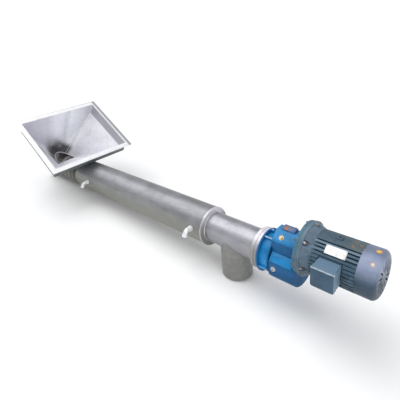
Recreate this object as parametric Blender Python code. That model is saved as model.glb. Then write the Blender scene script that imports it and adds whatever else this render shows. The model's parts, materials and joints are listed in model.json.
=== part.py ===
"""Jacketed tubular screw conveyor with a slanted feed hopper and an inline geared motor.

Everything is placed on the tube's own axis: X along the tube from the hopper to
the motor, Z up, Y away from the side that carries the terminal box.  x = 0 is
the drive end of the water jacket.  The finished conveyor then lies down on a
level floor, on the rim of its discharge spout and the end flange of its feed shell.
"""

from math import asin, atan, cos, pi, radians, sin, sqrt

import bmesh
import bpy
from mathutils import Matrix, Vector

GAP = 0.0003                # between pieces that touch
ROUND = 48                  # facets round the large tubes
SMALL_ROUND = 24            # facets round plugs and nozzles
BAY_CHORD = radians(10)     # facets of a round between its ribs

# Water jacket and screw tube
JACKET_R = 0.1095
JACKET_WALL = 0.006
JACKET_START = -1.3300
END_RING = 0.008
END_RING_LIP = 0.0015
SEAM_RING_R = 0.1115
SEAM_RING = 0.015
TUBE_R = 0.0840
TUBE_WALL = 0.006
TUBE_END = 0.3130

# Feed end
FEED_FLANGE_X = -1.8450
FEED_FLANGE_R = 0.1115
FEED_FLANGE = 0.012
BEARING_PLATE = 0.012
BEARING_R = 0.0550
BEARING_FOOT = 0.014
BEARING_BARREL_R = 0.0380
BEARING_END_R = 0.0340
BEARING_LENGTH = 0.045

# Screw
SHAFT_R = 0.0300
JOURNAL_R = 0.0200
JOURNAL_CLEARANCE = 0.0006
SHAFT_SETBACK = 0.006       # thick shaft to the end plates
FLIGHT_R = 0.0725
FLIGHT_THICK = 0.005
FLIGHT_PITCH = 0.150
FLIGHT_START = -1.830
FLIGHT_TURNS = 13.05
FLIGHT_STEPS = 20           # sections in one turn

# Discharge spout
SPOUT_X = 0.1500
SPOUT_R = 0.0840
SPOUT_WALL = 0.006
SPOUT_DROP = 0.2340

# Water nozzles: pipe elbows that leave the near side about level and turn down
NOZZLE_X = (-1.165, -0.078)
NOZZLE_R = 0.0135
NOZZLE_BORE = 0.0100
NOZZLE_ANGLE = radians(98)  # the way out, from straight down towards the near side
NOZZLE_ROOT = 0.012         # inside the jacket's surface, before it is cut to fit
NOZZLE_REACH = 0.020        # straight pipe before the bend
NOZZLE_BEND = 0.026         # radius of the bend's middle line
NOZZLE_BEND_STEPS = 6
NOZZLE_TAIL = 0.006

# Hopper: its rim is a rectangle in a plane that slopes down towards the motor
RIM_CENTRE = Vector((-1.4020, 0.0, 0.3325))
RIM_SLOPE = radians(34.3)
RIM_HALF_LENGTH = 0.2830
RIM_HALF_WIDTH = 0.3450
RIM_BAR = 0.0350
RIM_THICK = 0.005
COLLAR_DEPTH = 0.0910
HOPPER_SHEET = 0.004
FRONT_FOOT = 3.0            # the almost level front wall spreads further out at the throat
THROAT_X = -1.6950
THROAT_HALF_LENGTH = 0.1400
THROAT_HALF_WIDTH = 0.0700
THROAT_STEPS = 6            # chords in half of one hopper wall's throat edge
SEAM_GAP = 0.0005

# Gear reducer: the output shaft is on the tube's axis, the motor above it
MOTOR_Z = 0.0995
END_FLANGE_R = 0.1050
END_FLANGE = 0.018
ADAPTER_RING = 0.018
GEAR_FLANGE_R = 0.1100
GEAR_FLANGE = 0.009
NECK_R = 0.0970
NECK_LENGTH = 0.053
NECK_RIBS = 4
NECK_RIB_THICK = 0.009
NECK_RIB_R = 0.1080
NECK_RIB_TURN = radians(-20)            # first rib, from the top towards the near side
GEAR_LENGTH = 0.134
GEAR_BELLY_R = 0.1110
GEAR_SIDE = (0.1000, 0.0180)            # half width and height of each corner going up
GEAR_WAIST = (0.0655, 0.0605)
GEAR_SHOULDER = (0.0645, 0.1215)
GEAR_TOP = (0.0220, 0.1570)
TOP_COVER = (0.066, 0.018, 0.015)       # length, half width, height
TOP_COVER_INSET = 0.025
SIDE_COVER = (0.112, 0.047, 0.004)      # length, height, thickness
SIDE_COVER_INSET = 0.006
PLUG_ACROSS = 0.020
BREATHER_PLACE = (0.0417, -0.0485)      # along the housing and across it
BREATHER_HEIGHT = 0.012
LEVEL_PLUG_PLACE = (0.0288, -0.0132)    # along the housing and up it
LEVEL_PLUG_HEIGHT = 0.009
INPUT_FLANGE_R = 0.1250
INPUT_FLANGE = 0.0185

# Motor
MOTOR_FLANGE_R = 0.1275
MOTOR_FLANGE = 0.019
SHIELD_R = 0.1160
SHIELD_END_R = 0.0960
SHIELD_LENGTH = 0.040
SHIELD_EDGE = (0.010, 0.002)            # length and fall of its first cone
MOTOR_CORE_R = 0.0900
MOTOR_FIN_R = 0.1050
MOTOR_FINS = 40
MOTOR_FIN_THICK = 0.004
MOTOR_LENGTH = 0.162
REAR_SHIELD = 0.024
COWL_R = 0.1047
COWL_WALL = 0.002
REAR_SHIELD_R = COWL_R - COWL_WALL - GAP
COWL_START = 0.7970
COWL_END = 0.8750
COWL_TAPER = 0.018
GRILLE_SLOTS = 16
GRILLE_SLOT = (0.030, 0.074, 0.007)     # inner radius, outer radius, width
FAN_HUB_R = 0.0220
FAN_HUB = 0.010
FAN_R = 0.0850
FAN_LENGTH = 0.030
FAN_BLADES = 7
FAN_BLADE = 0.004
LUG_X = (0.060, 0.086)                  # from the frame's drive end
LUG_HALF = 0.012
LUG_R = (0.0940, 0.1120)                # its foot and its top
PLATE_X = 0.7080
PLATE = (0.0425, 0.0188, 0.0012)        # half length, half width, thickness
PLATE_LEAN = radians(39)

# Terminal box on the near side of the motor
BOX_X = (0.650, 0.745)
BOX_Z = (0.0530, 0.1480)
BOX_FRONT_Y = -0.1620
BOX_BACK_Y = -0.0700
LID_DEPTH = 0.022
LID_LIP = 0.002
PAD_Y = -0.1120
PAD_ROOM = 0.004


def clear_scene():
    for obj in list(bpy.data.objects):
        bpy.data.objects.remove(obj, do_unlink=True)


def material(name, color, rough, metal):
    mat = bpy.data.materials.new(name)
    mat.use_nodes = True
    shader = mat.node_tree.nodes["Principled BSDF"]
    shader.inputs["Base Color"].default_value = (*color, 1.0)
    shader.inputs["Roughness"].default_value = rough
    shader.inputs["Metallic"].default_value = metal
    return mat


def empty(name, parent=None):
    obj = bpy.data.objects.new(name, None)
    bpy.context.collection.objects.link(obj)
    obj.parent = parent
    return obj


def piece(name, bm, mat, parent, smooth=False):
    """Close a bmesh into a named object under its parent empty."""
    bmesh.ops.remove_doubles(bm, verts=bm.verts, dist=1e-6)
    bmesh.ops.recalc_face_normals(bm, faces=bm.faces)
    mesh = bpy.data.meshes.new(name)
    bm.to_mesh(mesh)
    bm.free()
    if smooth:
        mesh.shade_smooth()
        mesh.set_sharp_from_angle(angle=radians(35))
    mesh.materials.append(mat)
    obj = bpy.data.objects.new(name, mesh)
    bpy.context.collection.objects.link(obj)
    obj.parent = parent
    return obj


def turned(profile, steps=ROUND, centre_z=0.0):
    """Spin a closed outline of (x, radius) points about the X direction."""
    bm = bmesh.new()
    verts = [bm.verts.new((x, 0.0, r)) for x, r in profile]
    for first, second in zip(verts, verts[1:] + verts[:1]):
        if first.co.z > 0.0 or second.co.z > 0.0:
            bm.edges.new((first, second))
    bmesh.ops.spin(bm, geom=bm.verts[:] + bm.edges[:], cent=(0, 0, 0), axis=(1, 0, 0),
                   angle=2 * pi, steps=steps, use_merge=True)
    bmesh.ops.remove_doubles(bm, verts=bm.verts, dist=1e-6)
    bmesh.ops.translate(bm, verts=bm.verts, vec=(0.0, 0.0, centre_z))
    return bm


def sleeve(x0, x1, outer, inner, steps=ROUND, centre_z=0.0):
    return turned([(x0, inner), (x0, outer), (x1, outer), (x1, inner)], steps, centre_z)


def disc(x0, x1, radius, steps=ROUND, centre_z=0.0):
    return turned([(x0, 0.0), (x0, radius), (x1, radius), (x1, 0.0)], steps, centre_z)


def prism(outline, x0, x1):
    """Extrude an outline of (y, z) points along X."""
    bm = bmesh.new()
    face = bm.faces.new([bm.verts.new((x0, y, z)) for y, z in outline])
    made = bmesh.ops.extrude_face_region(bm, geom=[face])
    moved = [item for item in made["geom"] if isinstance(item, bmesh.types.BMVert)]
    bmesh.ops.translate(bm, verts=moved, vec=(x1 - x0, 0.0, 0.0))
    return bm


def block(low, high):
    bm = bmesh.new()
    size = Vector(high) - Vector(low)
    middle = (Vector(high) + Vector(low)) / 2
    matrix = Matrix.Translation(middle) @ Matrix.Diagonal((*size, 1.0))
    bmesh.ops.create_cube(bm, size=1.0, matrix=matrix)
    return bm


def soften(obj, width, segments=1):
    bevel = obj.modifiers.new("Bevel", "BEVEL")
    bevel.width = width
    bevel.segments = segments
    bevel.limit_method = "ANGLE"
    return obj


def cutter(name, bm, parent):
    """A hidden tool body for a Boolean."""
    bmesh.ops.remove_doubles(bm, verts=bm.verts, dist=1e-6)
    bmesh.ops.recalc_face_normals(bm, faces=bm.faces)
    mesh = bpy.data.meshes.new(name)
    bm.to_mesh(mesh)
    bm.free()
    obj = bpy.data.objects.new(name, mesh)
    bpy.context.collection.objects.link(obj)
    obj.parent = parent
    obj.hide_render = True
    obj.display_type = "WIRE"
    return obj


def cut(obj, tool):
    boolean = obj.modifiers.new("Cut", "BOOLEAN")
    boolean.operation = "DIFFERENCE"
    boolean.solver = "EXACT"
    boolean.object = tool
    return obj


def upright(bm, x):
    """Turn a body made along +X so that it runs down from the tube's axis at x."""
    turn = Matrix.Translation((x, 0, 0)) @ Matrix.Rotation(pi / 2, 4, "Y")
    bmesh.ops.transform(bm, matrix=turn, verts=bm.verts)
    return bm


def radial(bm, x):
    """Turn a body made along +X so that it points out through the nozzle's angle."""
    down = Matrix.Rotation(pi / 2, 4, "Y")
    swing = Matrix.Rotation(-NOZZLE_ANGLE, 4, "X")
    bmesh.ops.transform(bm, matrix=Matrix.Translation((x, 0, 0)) @ swing @ down, verts=bm.verts)
    return bm


def outward(angle):
    """The direction at an angle from straight down towards the near side."""
    return Vector((0.0, -sin(angle), -cos(angle)))


def across(angle):
    """Square to that direction, on the side of larger angles."""
    return Vector((0.0, -cos(angle), sin(angle)))


# Hopper geometry

def throat_edge(angle, grow, radius):
    """A point of the throat's oval, dropped on to a tube of the given radius."""
    spread = 1.0 + FRONT_FOOT * max(0.0, cos(2 * angle)) if cos(angle) > 0.0 else 1.0
    x = THROAT_X + (THROAT_HALF_LENGTH + grow * spread) * cos(angle)
    y = (THROAT_HALF_WIDTH + grow) * sin(angle)
    return Vector((x, y, sqrt(radius * radius - y * y)))


def on_rim(along, across, depth):
    """A point given down the rim's slope, across it and below its plane."""
    down_slope = Vector((cos(RIM_SLOPE), 0, -sin(RIM_SLOPE)))
    out = Vector((sin(RIM_SLOPE), 0, cos(RIM_SLOPE)))
    return RIM_CENTRE + down_slope * along + Vector((0, across, 0)) - out * depth


def frame_of(half_length, half_width, inner_length, inner_width, top, bottom):
    """A rectangular ring in the rim's plane, between two depths below it."""
    bm = bmesh.new()
    rings = []
    for along, across, depth in ((half_length, half_width, top), (inner_length, inner_width, top),
                                 (inner_length, inner_width, bottom), (half_length, half_width, bottom)):
        corners = ((along, -across), (along, across), (-along, across), (-along, -across))
        rings.append([bm.verts.new(on_rim(a, b, depth)) for a, b in corners])
    for ring, after in zip(rings, rings[1:] + rings[:1]):
        for i in range(4):
            j = (i + 1) % 4
            bm.faces.new((ring[i], ring[j], after[j], after[i]))
    return bm


WALLS = ("front", "far", "back", "near")    # turning from +X to +Y as seen from above


def wall_corner(index, grow, inset_before, inset_after):
    """The two upper corners of one wall; index 0 faces the motor."""
    half_l = RIM_HALF_LENGTH - RIM_BAR + grow
    half_w = RIM_HALF_WIDTH - RIM_BAR + grow
    corners = ((half_l, -half_w), (half_l, half_w), (-half_l, half_w), (-half_l, -half_w))
    first = Vector(corners[index])
    second = Vector(corners[(index + 1) % 4])
    along = (second - first).normalized()
    first = first + along * inset_before
    second = second - along * inset_after
    return [on_rim(p.x, p.y, COLLAR_DEPTH + GAP) for p in (first, second)]


def wall_skin(bm, index, grow, radius, gap):
    """One face sheet of a hopper wall: a flat triangle with a fan at each side."""
    middle = index * pi / 2
    span = pi / 4 - gap / THROAT_HALF_LENGTH
    top = [bm.verts.new(p) for p in wall_corner(index, grow, gap, gap)]
    steps = range(-THROAT_STEPS, THROAT_STEPS + 1)
    low = [bm.verts.new(throat_edge(middle + span * i / THROAT_STEPS, grow, radius)) for i in steps]
    for i in range(THROAT_STEPS):
        bm.faces.new((top[0], low[i], low[i + 1]))
        bm.faces.new((top[1], low[THROAT_STEPS + i], low[THROAT_STEPS + i + 1]))
    bm.faces.new((top[0], low[THROAT_STEPS], top[1]))
    return [top[0], *low, top[1]]


def hopper_wall(index):
    bm = bmesh.new()
    seat = TUBE_R + 2 * GAP
    inside = wall_skin(bm, index, 0.0, seat, SEAM_GAP)
    outside = wall_skin(bm, index, HOPPER_SHEET, seat, SEAM_GAP)
    count = len(inside)
    for i in range(count):
        j = (i + 1) % count
        a, b, c, d = inside[i], inside[j], outside[j], outside[i]
        if i == count - 2:                  # both seams fold along the same diagonal
            bm.faces.new((a, b, d))
            bm.faces.new((b, c, d))
        else:
            bm.faces.new((a, b, c))
            bm.faces.new((a, c, d))
    return bm


def hopper_core(grow):
    """The hopper's outer shape as one solid, to clear the feed shell for it."""
    bm = bmesh.new()
    top = []
    low = []
    for index in range(4):
        middle = index * pi / 2
        top.append(bm.verts.new(wall_corner(index, grow, 0.0, 0.0)[0]))
        steps = range(-THROAT_STEPS, THROAT_STEPS)
        edge = [throat_edge(middle + pi / 4 * i / THROAT_STEPS, grow, TUBE_R) for i in steps]
        low.extend(bm.verts.new(p) for p in edge)
    count = len(low)
    for index in range(4):
        start = index * 2 * THROAT_STEPS
        after = (index + 1) % 4
        for i in range(THROAT_STEPS):
            bm.faces.new((top[index], low[start + i], low[start + i + 1]))
            right = start + THROAT_STEPS + i
            bm.faces.new((top[after], low[right], low[(right + 1) % count]))
        bm.faces.new((top[index], low[start + THROAT_STEPS], top[after]))
    bm.faces.new(top)
    floor = [bm.verts.new((v.co.x, v.co.y, 0.0)) for v in low]
    for i in range(count):
        j = (i + 1) % count
        bm.faces.new((low[i], low[j], floor[j], floor[i]))
    bm.faces.new(floor)
    return bm


def throat_plug():
    """An upright oval prism that opens the screw tube under the hopper."""
    bm = bmesh.new()
    count = 8 * THROAT_STEPS
    ring = [throat_edge(2 * pi * i / count, 0.0, TUBE_R) for i in range(count)]
    face = bm.faces.new([bm.verts.new((p.x, p.y, 0.0)) for p in ring])
    made = bmesh.ops.extrude_face_region(bm, geom=[face])
    moved = [item for item in made["geom"] if isinstance(item, bmesh.types.BMVert)]
    bmesh.ops.translate(bm, verts=moved, vec=(0, 0, 2 * TUBE_R))
    return bm


def build_hopper(axis, steel, bright):
    inner_l = RIM_HALF_LENGTH - RIM_BAR
    inner_w = RIM_HALF_WIDTH - RIM_BAR
    rim = frame_of(RIM_HALF_LENGTH, RIM_HALF_WIDTH, inner_l, inner_w, 0.0, RIM_THICK)
    piece("hopper_rim", rim, bright, axis)
    collar = frame_of(inner_l + HOPPER_SHEET, inner_w + HOPPER_SHEET, inner_l, inner_w,
                      RIM_THICK + GAP, COLLAR_DEPTH)
    piece("hopper_collar", collar, steel, axis)
    for index, side in enumerate(WALLS):
        piece(f"hopper_{side}_wall", hopper_wall(index), steel, axis)


# Tubes

def nozzle_tool(name, x, axis):
    bm = disc(TUBE_R, JACKET_R + NOZZLE_REACH, NOZZLE_BORE, SMALL_ROUND)
    return cutter(name, radial(bm, x), axis)


def nozzle_elbow(x):
    """A pipe that runs out from the jacket and bends a quarter turn down."""
    bm = bmesh.new()
    foot = Vector((x, 0.0, 0.0))
    way_out = outward(NOZZLE_ANGLE)
    hub = foot + way_out * (JACKET_R + NOZZLE_REACH) - across(NOZZLE_ANGLE) * NOZZLE_BEND
    stations = [(foot + way_out * (JACKET_R - NOZZLE_ROOT), NOZZLE_ANGLE)]
    for i in range(NOZZLE_BEND_STEPS + 1):
        angle = NOZZLE_ANGLE - pi / 2 * i / NOZZLE_BEND_STEPS
        stations.append((hub + across(angle) * NOZZLE_BEND, angle))
    stations.append((stations[-1][0] + outward(angle) * NOZZLE_TAIL, angle))
    turns = [2 * pi * i / SMALL_ROUND for i in range(SMALL_ROUND)]
    walls = []
    for radius in (NOZZLE_R, NOZZLE_BORE):
        rings = []
        for centre, angle in stations:
            ring = [centre + (Vector((cos(t), 0, 0)) + across(angle) * sin(t)) * radius for t in turns]
            rings.append([bm.verts.new(point) for point in ring])
        walls.append(rings)
    outer, inner = walls
    strips = list(zip(outer, outer[1:])) + list(zip(inner, inner[1:]))
    strips += [(outer[0], inner[0]), (outer[-1], inner[-1])]
    for one, two in strips:
        for i in range(SMALL_ROUND):
            j = (i + 1) % SMALL_ROUND
            bm.faces.new((one[i], one[j], two[j], two[i]))
    return bm


def build_tubes(axis, steel, bright):
    bore = TUBE_R - TUBE_WALL
    tube = piece("screw_tube", sleeve(FEED_FLANGE_X + GAP, TUBE_END - GAP, TUBE_R, bore), steel, axis, True)
    cut(tube, cutter("throat_tool", throat_plug(), axis))
    outlet = upright(disc(0.0, SPOUT_DROP, SPOUT_R - SPOUT_WALL), SPOUT_X)
    cut(tube, cutter("outlet_tool", outlet, axis))

    spout = upright(sleeve(0.0, SPOUT_DROP, SPOUT_R, SPOUT_R - SPOUT_WALL), SPOUT_X)
    spout = piece("discharge_spout", spout, steel, axis, True)
    saddle = disc(SPOUT_X - 2 * SPOUT_R, SPOUT_X + 2 * SPOUT_R, TUBE_R + 2 * GAP)
    cut(spout, cutter("saddle_tool", saddle, axis))

    jacket_bore = JACKET_R - JACKET_WALL
    jacket = piece("jacket_tube", sleeve(JACKET_START + GAP, -END_RING - GAP, JACKET_R, jacket_bore),
                   steel, axis, True)
    seat = disc(JACKET_START, 0.0, JACKET_R + GAP)
    seat_tool = cutter("nozzle_seat_tool", seat, axis)
    for name, x in zip(("feed", "drive"), NOZZLE_X):
        cut(jacket, nozzle_tool(f"nozzle_{name}_tool", x, axis))
        nozzle = piece(f"water_nozzle_{name}", nozzle_elbow(x), bright, axis, True)
        cut(nozzle, seat_tool)

    hole = TUBE_R + GAP
    piece("jacket_end_ring", sleeve(-END_RING, 0.0, JACKET_R + END_RING_LIP, hole), bright, axis, True)
    seam = piece("jacket_seam_ring", sleeve(JACKET_START - SEAM_RING, JACKET_START, SEAM_RING_R, hole),
                 steel, axis, True)
    shell = piece("feed_shell", sleeve(FEED_FLANGE_X + GAP, JACKET_START - SEAM_RING - GAP, JACKET_R,
                                       jacket_bore), steel, axis, True)
    hopper = cutter("hopper_tool", hopper_core(HOPPER_SHEET + 2 * GAP), axis)
    for coped in (jacket, seam, shell):     # each makes room for the hopper's sloping front wall
        cut(coped, hopper)


def build_feed_end(axis, bright, iron):
    bore = TUBE_R - TUBE_WALL
    x = FEED_FLANGE_X
    piece("feed_end_flange", sleeve(x - FEED_FLANGE, x, FEED_FLANGE_R, bore), bright, axis, True)
    x = x - FEED_FLANGE - GAP
    hole = JOURNAL_R + JOURNAL_CLEARANCE
    piece("bearing_plate", sleeve(x - BEARING_PLATE, x, FEED_FLANGE_R, hole), bright, axis, True)
    x = x - BEARING_PLATE - GAP
    shape = [(x, hole), (x, BEARING_R), (x - BEARING_FOOT, BEARING_R),
             (x - 1.4 * BEARING_FOOT, BEARING_BARREL_R), (x - BEARING_LENGTH, BEARING_END_R),
             (x - BEARING_LENGTH, hole)]
    piece("bearing_housing", turned(shape), iron, axis, True)
    return x - BEARING_LENGTH


# Screw

def helix_section(bm, angle, x, inner):
    turn = Matrix.Rotation(angle, 3, "X")
    half = FLIGHT_THICK / 2
    corners = ((x - half, inner), (x - half, FLIGHT_R), (x + half, FLIGHT_R), (x + half, inner))
    return [bm.verts.new(turn @ Vector((px, 0.0, r))) for px, r in corners]


def screw_flight_mesh():
    bm = bmesh.new()
    count = int(FLIGHT_TURNS * FLIGHT_STEPS)
    step = 2 * pi / FLIGHT_STEPS
    inner = (SHAFT_R + GAP) / cos(step / 2)
    sections = []
    for i in range(count + 1):
        x = FLIGHT_START + FLIGHT_PITCH * i / FLIGHT_STEPS
        sections.append(helix_section(bm, step * i, x, inner))
    for one, two in zip(sections, sections[1:]):
        for i in range(4):
            j = (i + 1) % 4
            bm.faces.new((one[i], one[j], two[j], two[i]))
    bm.faces.new(sections[0])
    bm.faces.new(sections[-1])
    bmesh.ops.triangulate(bm, faces=bm.faces)
    return bm


def build_screw(axis, shaft_end_x, gear_x, dark):
    start = FEED_FLANGE_X + SHAFT_SETBACK
    end = TUBE_END - SHAFT_SETBACK
    tip = shaft_end_x - SHAFT_SETBACK
    profile = [(tip, 0.0), (tip, JOURNAL_R), (start, JOURNAL_R), (start, SHAFT_R), (end, SHAFT_R),
               (end, JOURNAL_R), (gear_x, JOURNAL_R), (gear_x, 0.0)]
    piece("screw_shaft", turned(profile, 32), dark, axis, True)
    piece("screw_flight", screw_flight_mesh(), dark, axis, True)


# Drive

def ring_with_ribs(radius, rib_radius, ribs, thick, start=0.0):
    """An outline of (y, z) points: a round with square ribs standing out of it."""
    points = []
    root_half = asin(thick / 2 / radius)
    tip_half = asin(thick / 2 / rib_radius)
    for i in range(ribs):
        middle = start + 2 * pi * i / ribs
        after = start + 2 * pi * (i + 1) / ribs
        for angle, r in ((middle - root_half, radius), (middle - tip_half, rib_radius),
                         (middle + tip_half, rib_radius), (middle + root_half, radius)):
            points.append((r * sin(angle), r * cos(angle)))
        first = middle + root_half
        last = after - root_half
        chords = max(1, round((last - first) / BAY_CHORD))
        for k in range(1, chords):
            angle = first + (last - first) * k / chords
            points.append((radius * sin(angle), radius * cos(angle)))
    return points


def gear_outline():
    """Belly round the output shaft, a narrower upper part, sloped shoulders and a flat top."""
    start = asin(GEAR_SIDE[0] / GEAR_BELLY_R)
    belly = []
    steps = 14
    for i in range(steps + 1):
        angle = start - 2 * start * i / steps
        belly.append((GEAR_BELLY_R * sin(angle), -GEAR_BELLY_R * cos(angle)))
    corners = (GEAR_SIDE, GEAR_WAIST, GEAR_SHOULDER, GEAR_TOP)
    near = [(-half, z) for half, z in corners]
    far = [(half, z) for half, z in reversed(corners)]
    return belly + near + far


def hex_plug(name, place, direction, height, mat, axis):
    """A hexagon head standing on a face of the gearbox."""
    bm = bmesh.new()
    radius = PLUG_ACROSS / sqrt(3)
    lift = Matrix.Translation((0, 0, height / 2 + GAP))
    bmesh.ops.create_cone(bm, cap_ends=True, segments=6, radius1=radius, radius2=radius, depth=height,
                          matrix=lift)
    spin = Vector((0, 0, 1)).rotation_difference(Vector(direction)).to_matrix().to_4x4()
    bmesh.ops.transform(bm, matrix=Matrix.Translation(place) @ spin, verts=bm.verts)
    return piece(name, bm, mat, axis)


def build_gearbox(axis, bright, blue, blue_light, brass, grey, teal):
    hole = JOURNAL_R + JOURNAL_CLEARANCE
    x = TUBE_END
    piece("tube_end_flange", sleeve(x, x + END_FLANGE, END_FLANGE_R, hole), bright, axis, True)
    x += END_FLANGE + GAP
    piece("drive_adapter_ring", sleeve(x, x + ADAPTER_RING, END_FLANGE_R - 0.002, hole), bright, axis, True)
    x += ADAPTER_RING + GAP
    piece("gearbox_output_flange", sleeve(x, x + GEAR_FLANGE, GEAR_FLANGE_R, hole), blue, axis, True)
    shaft_stop = x + 0.75 * GEAR_FLANGE
    x += GEAR_FLANGE + GAP
    neck = ring_with_ribs(NECK_R, NECK_RIB_R, NECK_RIBS, NECK_RIB_THICK, NECK_RIB_TURN)
    piece("gearbox_neck", prism(neck, x, x + NECK_LENGTH), blue, axis)
    x += NECK_LENGTH + GAP
    housing = piece("gearbox_housing", prism(gear_outline(), x, x + GEAR_LENGTH), blue, axis)
    soften(housing, 0.004)
    length, half, height = TOP_COVER
    low = (x + TOP_COVER_INSET, -half, GEAR_TOP[1] + GAP)
    top_cover = block(low, (low[0] + length, half, low[2] + height))
    soften(piece("gearbox_top_cover", top_cover, blue_light, axis), 0.002)
    length, height, thick = SIDE_COVER
    side = Vector((0, -GEAR_SIDE[0], GEAR_SIDE[1]))
    waist = Vector((0, -GEAR_WAIST[0], GEAR_WAIST[1]))
    lean = Vector((0, 0, 1)).angle(waist - side)
    cover = block((-length / 2, -thick - GAP, -height / 2), (length / 2, -GAP, height / 2))
    place = Vector((x + SIDE_COVER_INSET + length / 2, 0, 0)) + (side + waist) / 2
    bmesh.ops.transform(cover, matrix=Matrix.Translation(place) @ Matrix.Rotation(-lean, 4, "X"),
                        verts=cover.verts)
    soften(piece("gearbox_side_cover", cover, blue_light, axis), 0.002)
    rise = GEAR_TOP[1] - GEAR_SHOULDER[1]
    run = GEAR_SHOULDER[0] - GEAR_TOP[0]
    shoulder = Vector((0, -rise, run)).normalized()
    along, y = BREATHER_PLACE
    z = GEAR_SHOULDER[1] + (y + GEAR_SHOULDER[0]) * rise / run
    hex_plug("breather_plug", (x + along, y, z), shoulder, BREATHER_HEIGHT, brass, axis)
    along, z = LEVEL_PLUG_PLACE
    hex_plug("oil_level_plug", (x + along, -GEAR_SIDE[0], z), (0, -1, 0), LEVEL_PLUG_HEIGHT, grey, axis)
    x += GEAR_LENGTH + GAP
    flange = disc(x, x + INPUT_FLANGE, INPUT_FLANGE_R, ROUND, MOTOR_Z)
    piece("gearbox_input_flange", flange, teal, axis, True)
    return shaft_stop, x + INPUT_FLANGE


def fan_mesh(x):
    """A hub disc with flat blades standing on it, joined in one outline."""
    outline = ring_with_ribs(FAN_HUB_R, FAN_R, FAN_BLADES, FAN_BLADE)
    bm = prism(outline, x, x + FAN_LENGTH)
    bmesh.ops.translate(bm, verts=bm.verts, vec=(0, 0, MOTOR_Z))
    return bm


def grille_tool(axis):
    bm = bmesh.new()
    inner, outer, width = GRILLE_SLOT
    for i in range(GRILLE_SLOTS):
        slot = block((COWL_END - 0.01, -width / 2, inner), (COWL_END + 0.01, width / 2, outer))
        turn = Matrix.Rotation(2 * pi * i / GRILLE_SLOTS, 4, "X")
        bmesh.ops.transform(slot, matrix=Matrix.Translation((0, 0, MOTOR_Z)) @ turn, verts=slot.verts)
        mesh = bpy.data.meshes.new("slot")
        slot.to_mesh(mesh)
        slot.free()
        bm.from_mesh(mesh)
        bpy.data.meshes.remove(mesh)
    return cutter("grille_tool", bm, axis)


def build_motor(axis, x, slate, cowl_paint, plate, dark):
    x += GAP
    shield = x + MOTOR_FLANGE
    edge, fall = SHIELD_EDGE
    profile = [(x, 0.0), (x, MOTOR_FLANGE_R), (shield, MOTOR_FLANGE_R), (shield, SHIELD_R),
               (shield + edge, SHIELD_R - fall), (shield + SHIELD_LENGTH, SHIELD_END_R),
               (shield + SHIELD_LENGTH, 0.0)]
    piece("motor_flange_shield", turned(profile, ROUND, MOTOR_Z), slate, axis, True)
    x = shield + SHIELD_LENGTH + GAP
    fins = ring_with_ribs(MOTOR_CORE_R, MOTOR_FIN_R, MOTOR_FINS, MOTOR_FIN_THICK)
    frame = prism(fins, x, x + MOTOR_LENGTH)
    bmesh.ops.translate(frame, verts=frame.verts, vec=(0, 0, MOTOR_Z))
    frame = piece("motor_frame", frame, slate, axis)
    pad = block((BOX_X[0] - PAD_ROOM, PAD_Y, BOX_Z[0] - PAD_ROOM),
                (BOX_X[1] + PAD_ROOM, BOX_BACK_Y, BOX_Z[1] + PAD_ROOM))
    cut(frame, cutter("pad_tool", pad, axis))
    foot, top = LUG_R
    room = block((x + LUG_X[0], -LUG_HALF, MOTOR_Z + foot),
                 (x + LUG_X[1], LUG_HALF, MOTOR_Z + MOTOR_FLANGE_R))
    cut(frame, cutter("lug_tool", room, axis))
    lug = block((x + LUG_X[0] + GAP, -LUG_HALF + GAP, MOTOR_Z + foot + GAP),
                (x + LUG_X[1] - GAP, LUG_HALF - GAP, MOTOR_Z + top))
    soften(piece("lifting_lug", lug, slate, axis), 0.002)
    x += MOTOR_LENGTH + GAP
    piece("motor_rear_shield", disc(x, x + REAR_SHIELD, REAR_SHIELD_R, ROUND, MOTOR_Z), slate, axis, True)
    x += REAR_SHIELD
    piece("fan_hub", disc(x + GAP, x + FAN_HUB, FAN_HUB_R, SMALL_ROUND, MOTOR_Z), dark, axis, True)
    piece("cooling_fan", fan_mesh(x + FAN_HUB + GAP), dark, axis)
    seat = COWL_R - COWL_WALL
    cowl = [(COWL_START, seat), (COWL_START, COWL_R), (COWL_END - COWL_TAPER, COWL_R),
            (COWL_END, COWL_R - COWL_TAPER), (COWL_END, 0.0), (COWL_END - COWL_WALL, 0.0),
            (COWL_END - COWL_WALL, seat - COWL_TAPER), (COWL_END - COWL_TAPER - COWL_WALL / 2, seat)]
    cowl = piece("fan_cowl", turned(cowl, ROUND, MOTOR_Z), cowl_paint, axis, True)
    cut(cowl, grille_tool(axis))

    lid_back = BOX_FRONT_Y + LID_DEPTH
    box = block((BOX_X[0], lid_back + GAP, BOX_Z[0]), (BOX_X[1], BOX_BACK_Y - GAP, BOX_Z[1]))
    soften(piece("terminal_box_base", box, slate, axis), 0.004)
    lid = block((BOX_X[0] - LID_LIP, BOX_FRONT_Y, BOX_Z[0] - LID_LIP),
                (BOX_X[1] + LID_LIP, lid_back, BOX_Z[1] + LID_LIP))
    soften(piece("terminal_box_lid", lid, slate, axis), 0.006, 2)
    half_length, half_width, thick = PLATE
    name = block((-half_length, -half_width, 0.0), (half_length, half_width, thick))
    lean = Matrix.Rotation(PLATE_LEAN, 4, "X")
    lift = Matrix.Translation((0, 0, MOTOR_FIN_R + 2 * GAP))
    place = Matrix.Translation((PLATE_X, 0, MOTOR_Z)) @ lean @ lift
    bmesh.ops.transform(name, matrix=place, verts=name.verts)
    piece("motor_nameplate", name, plate, axis)


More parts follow.
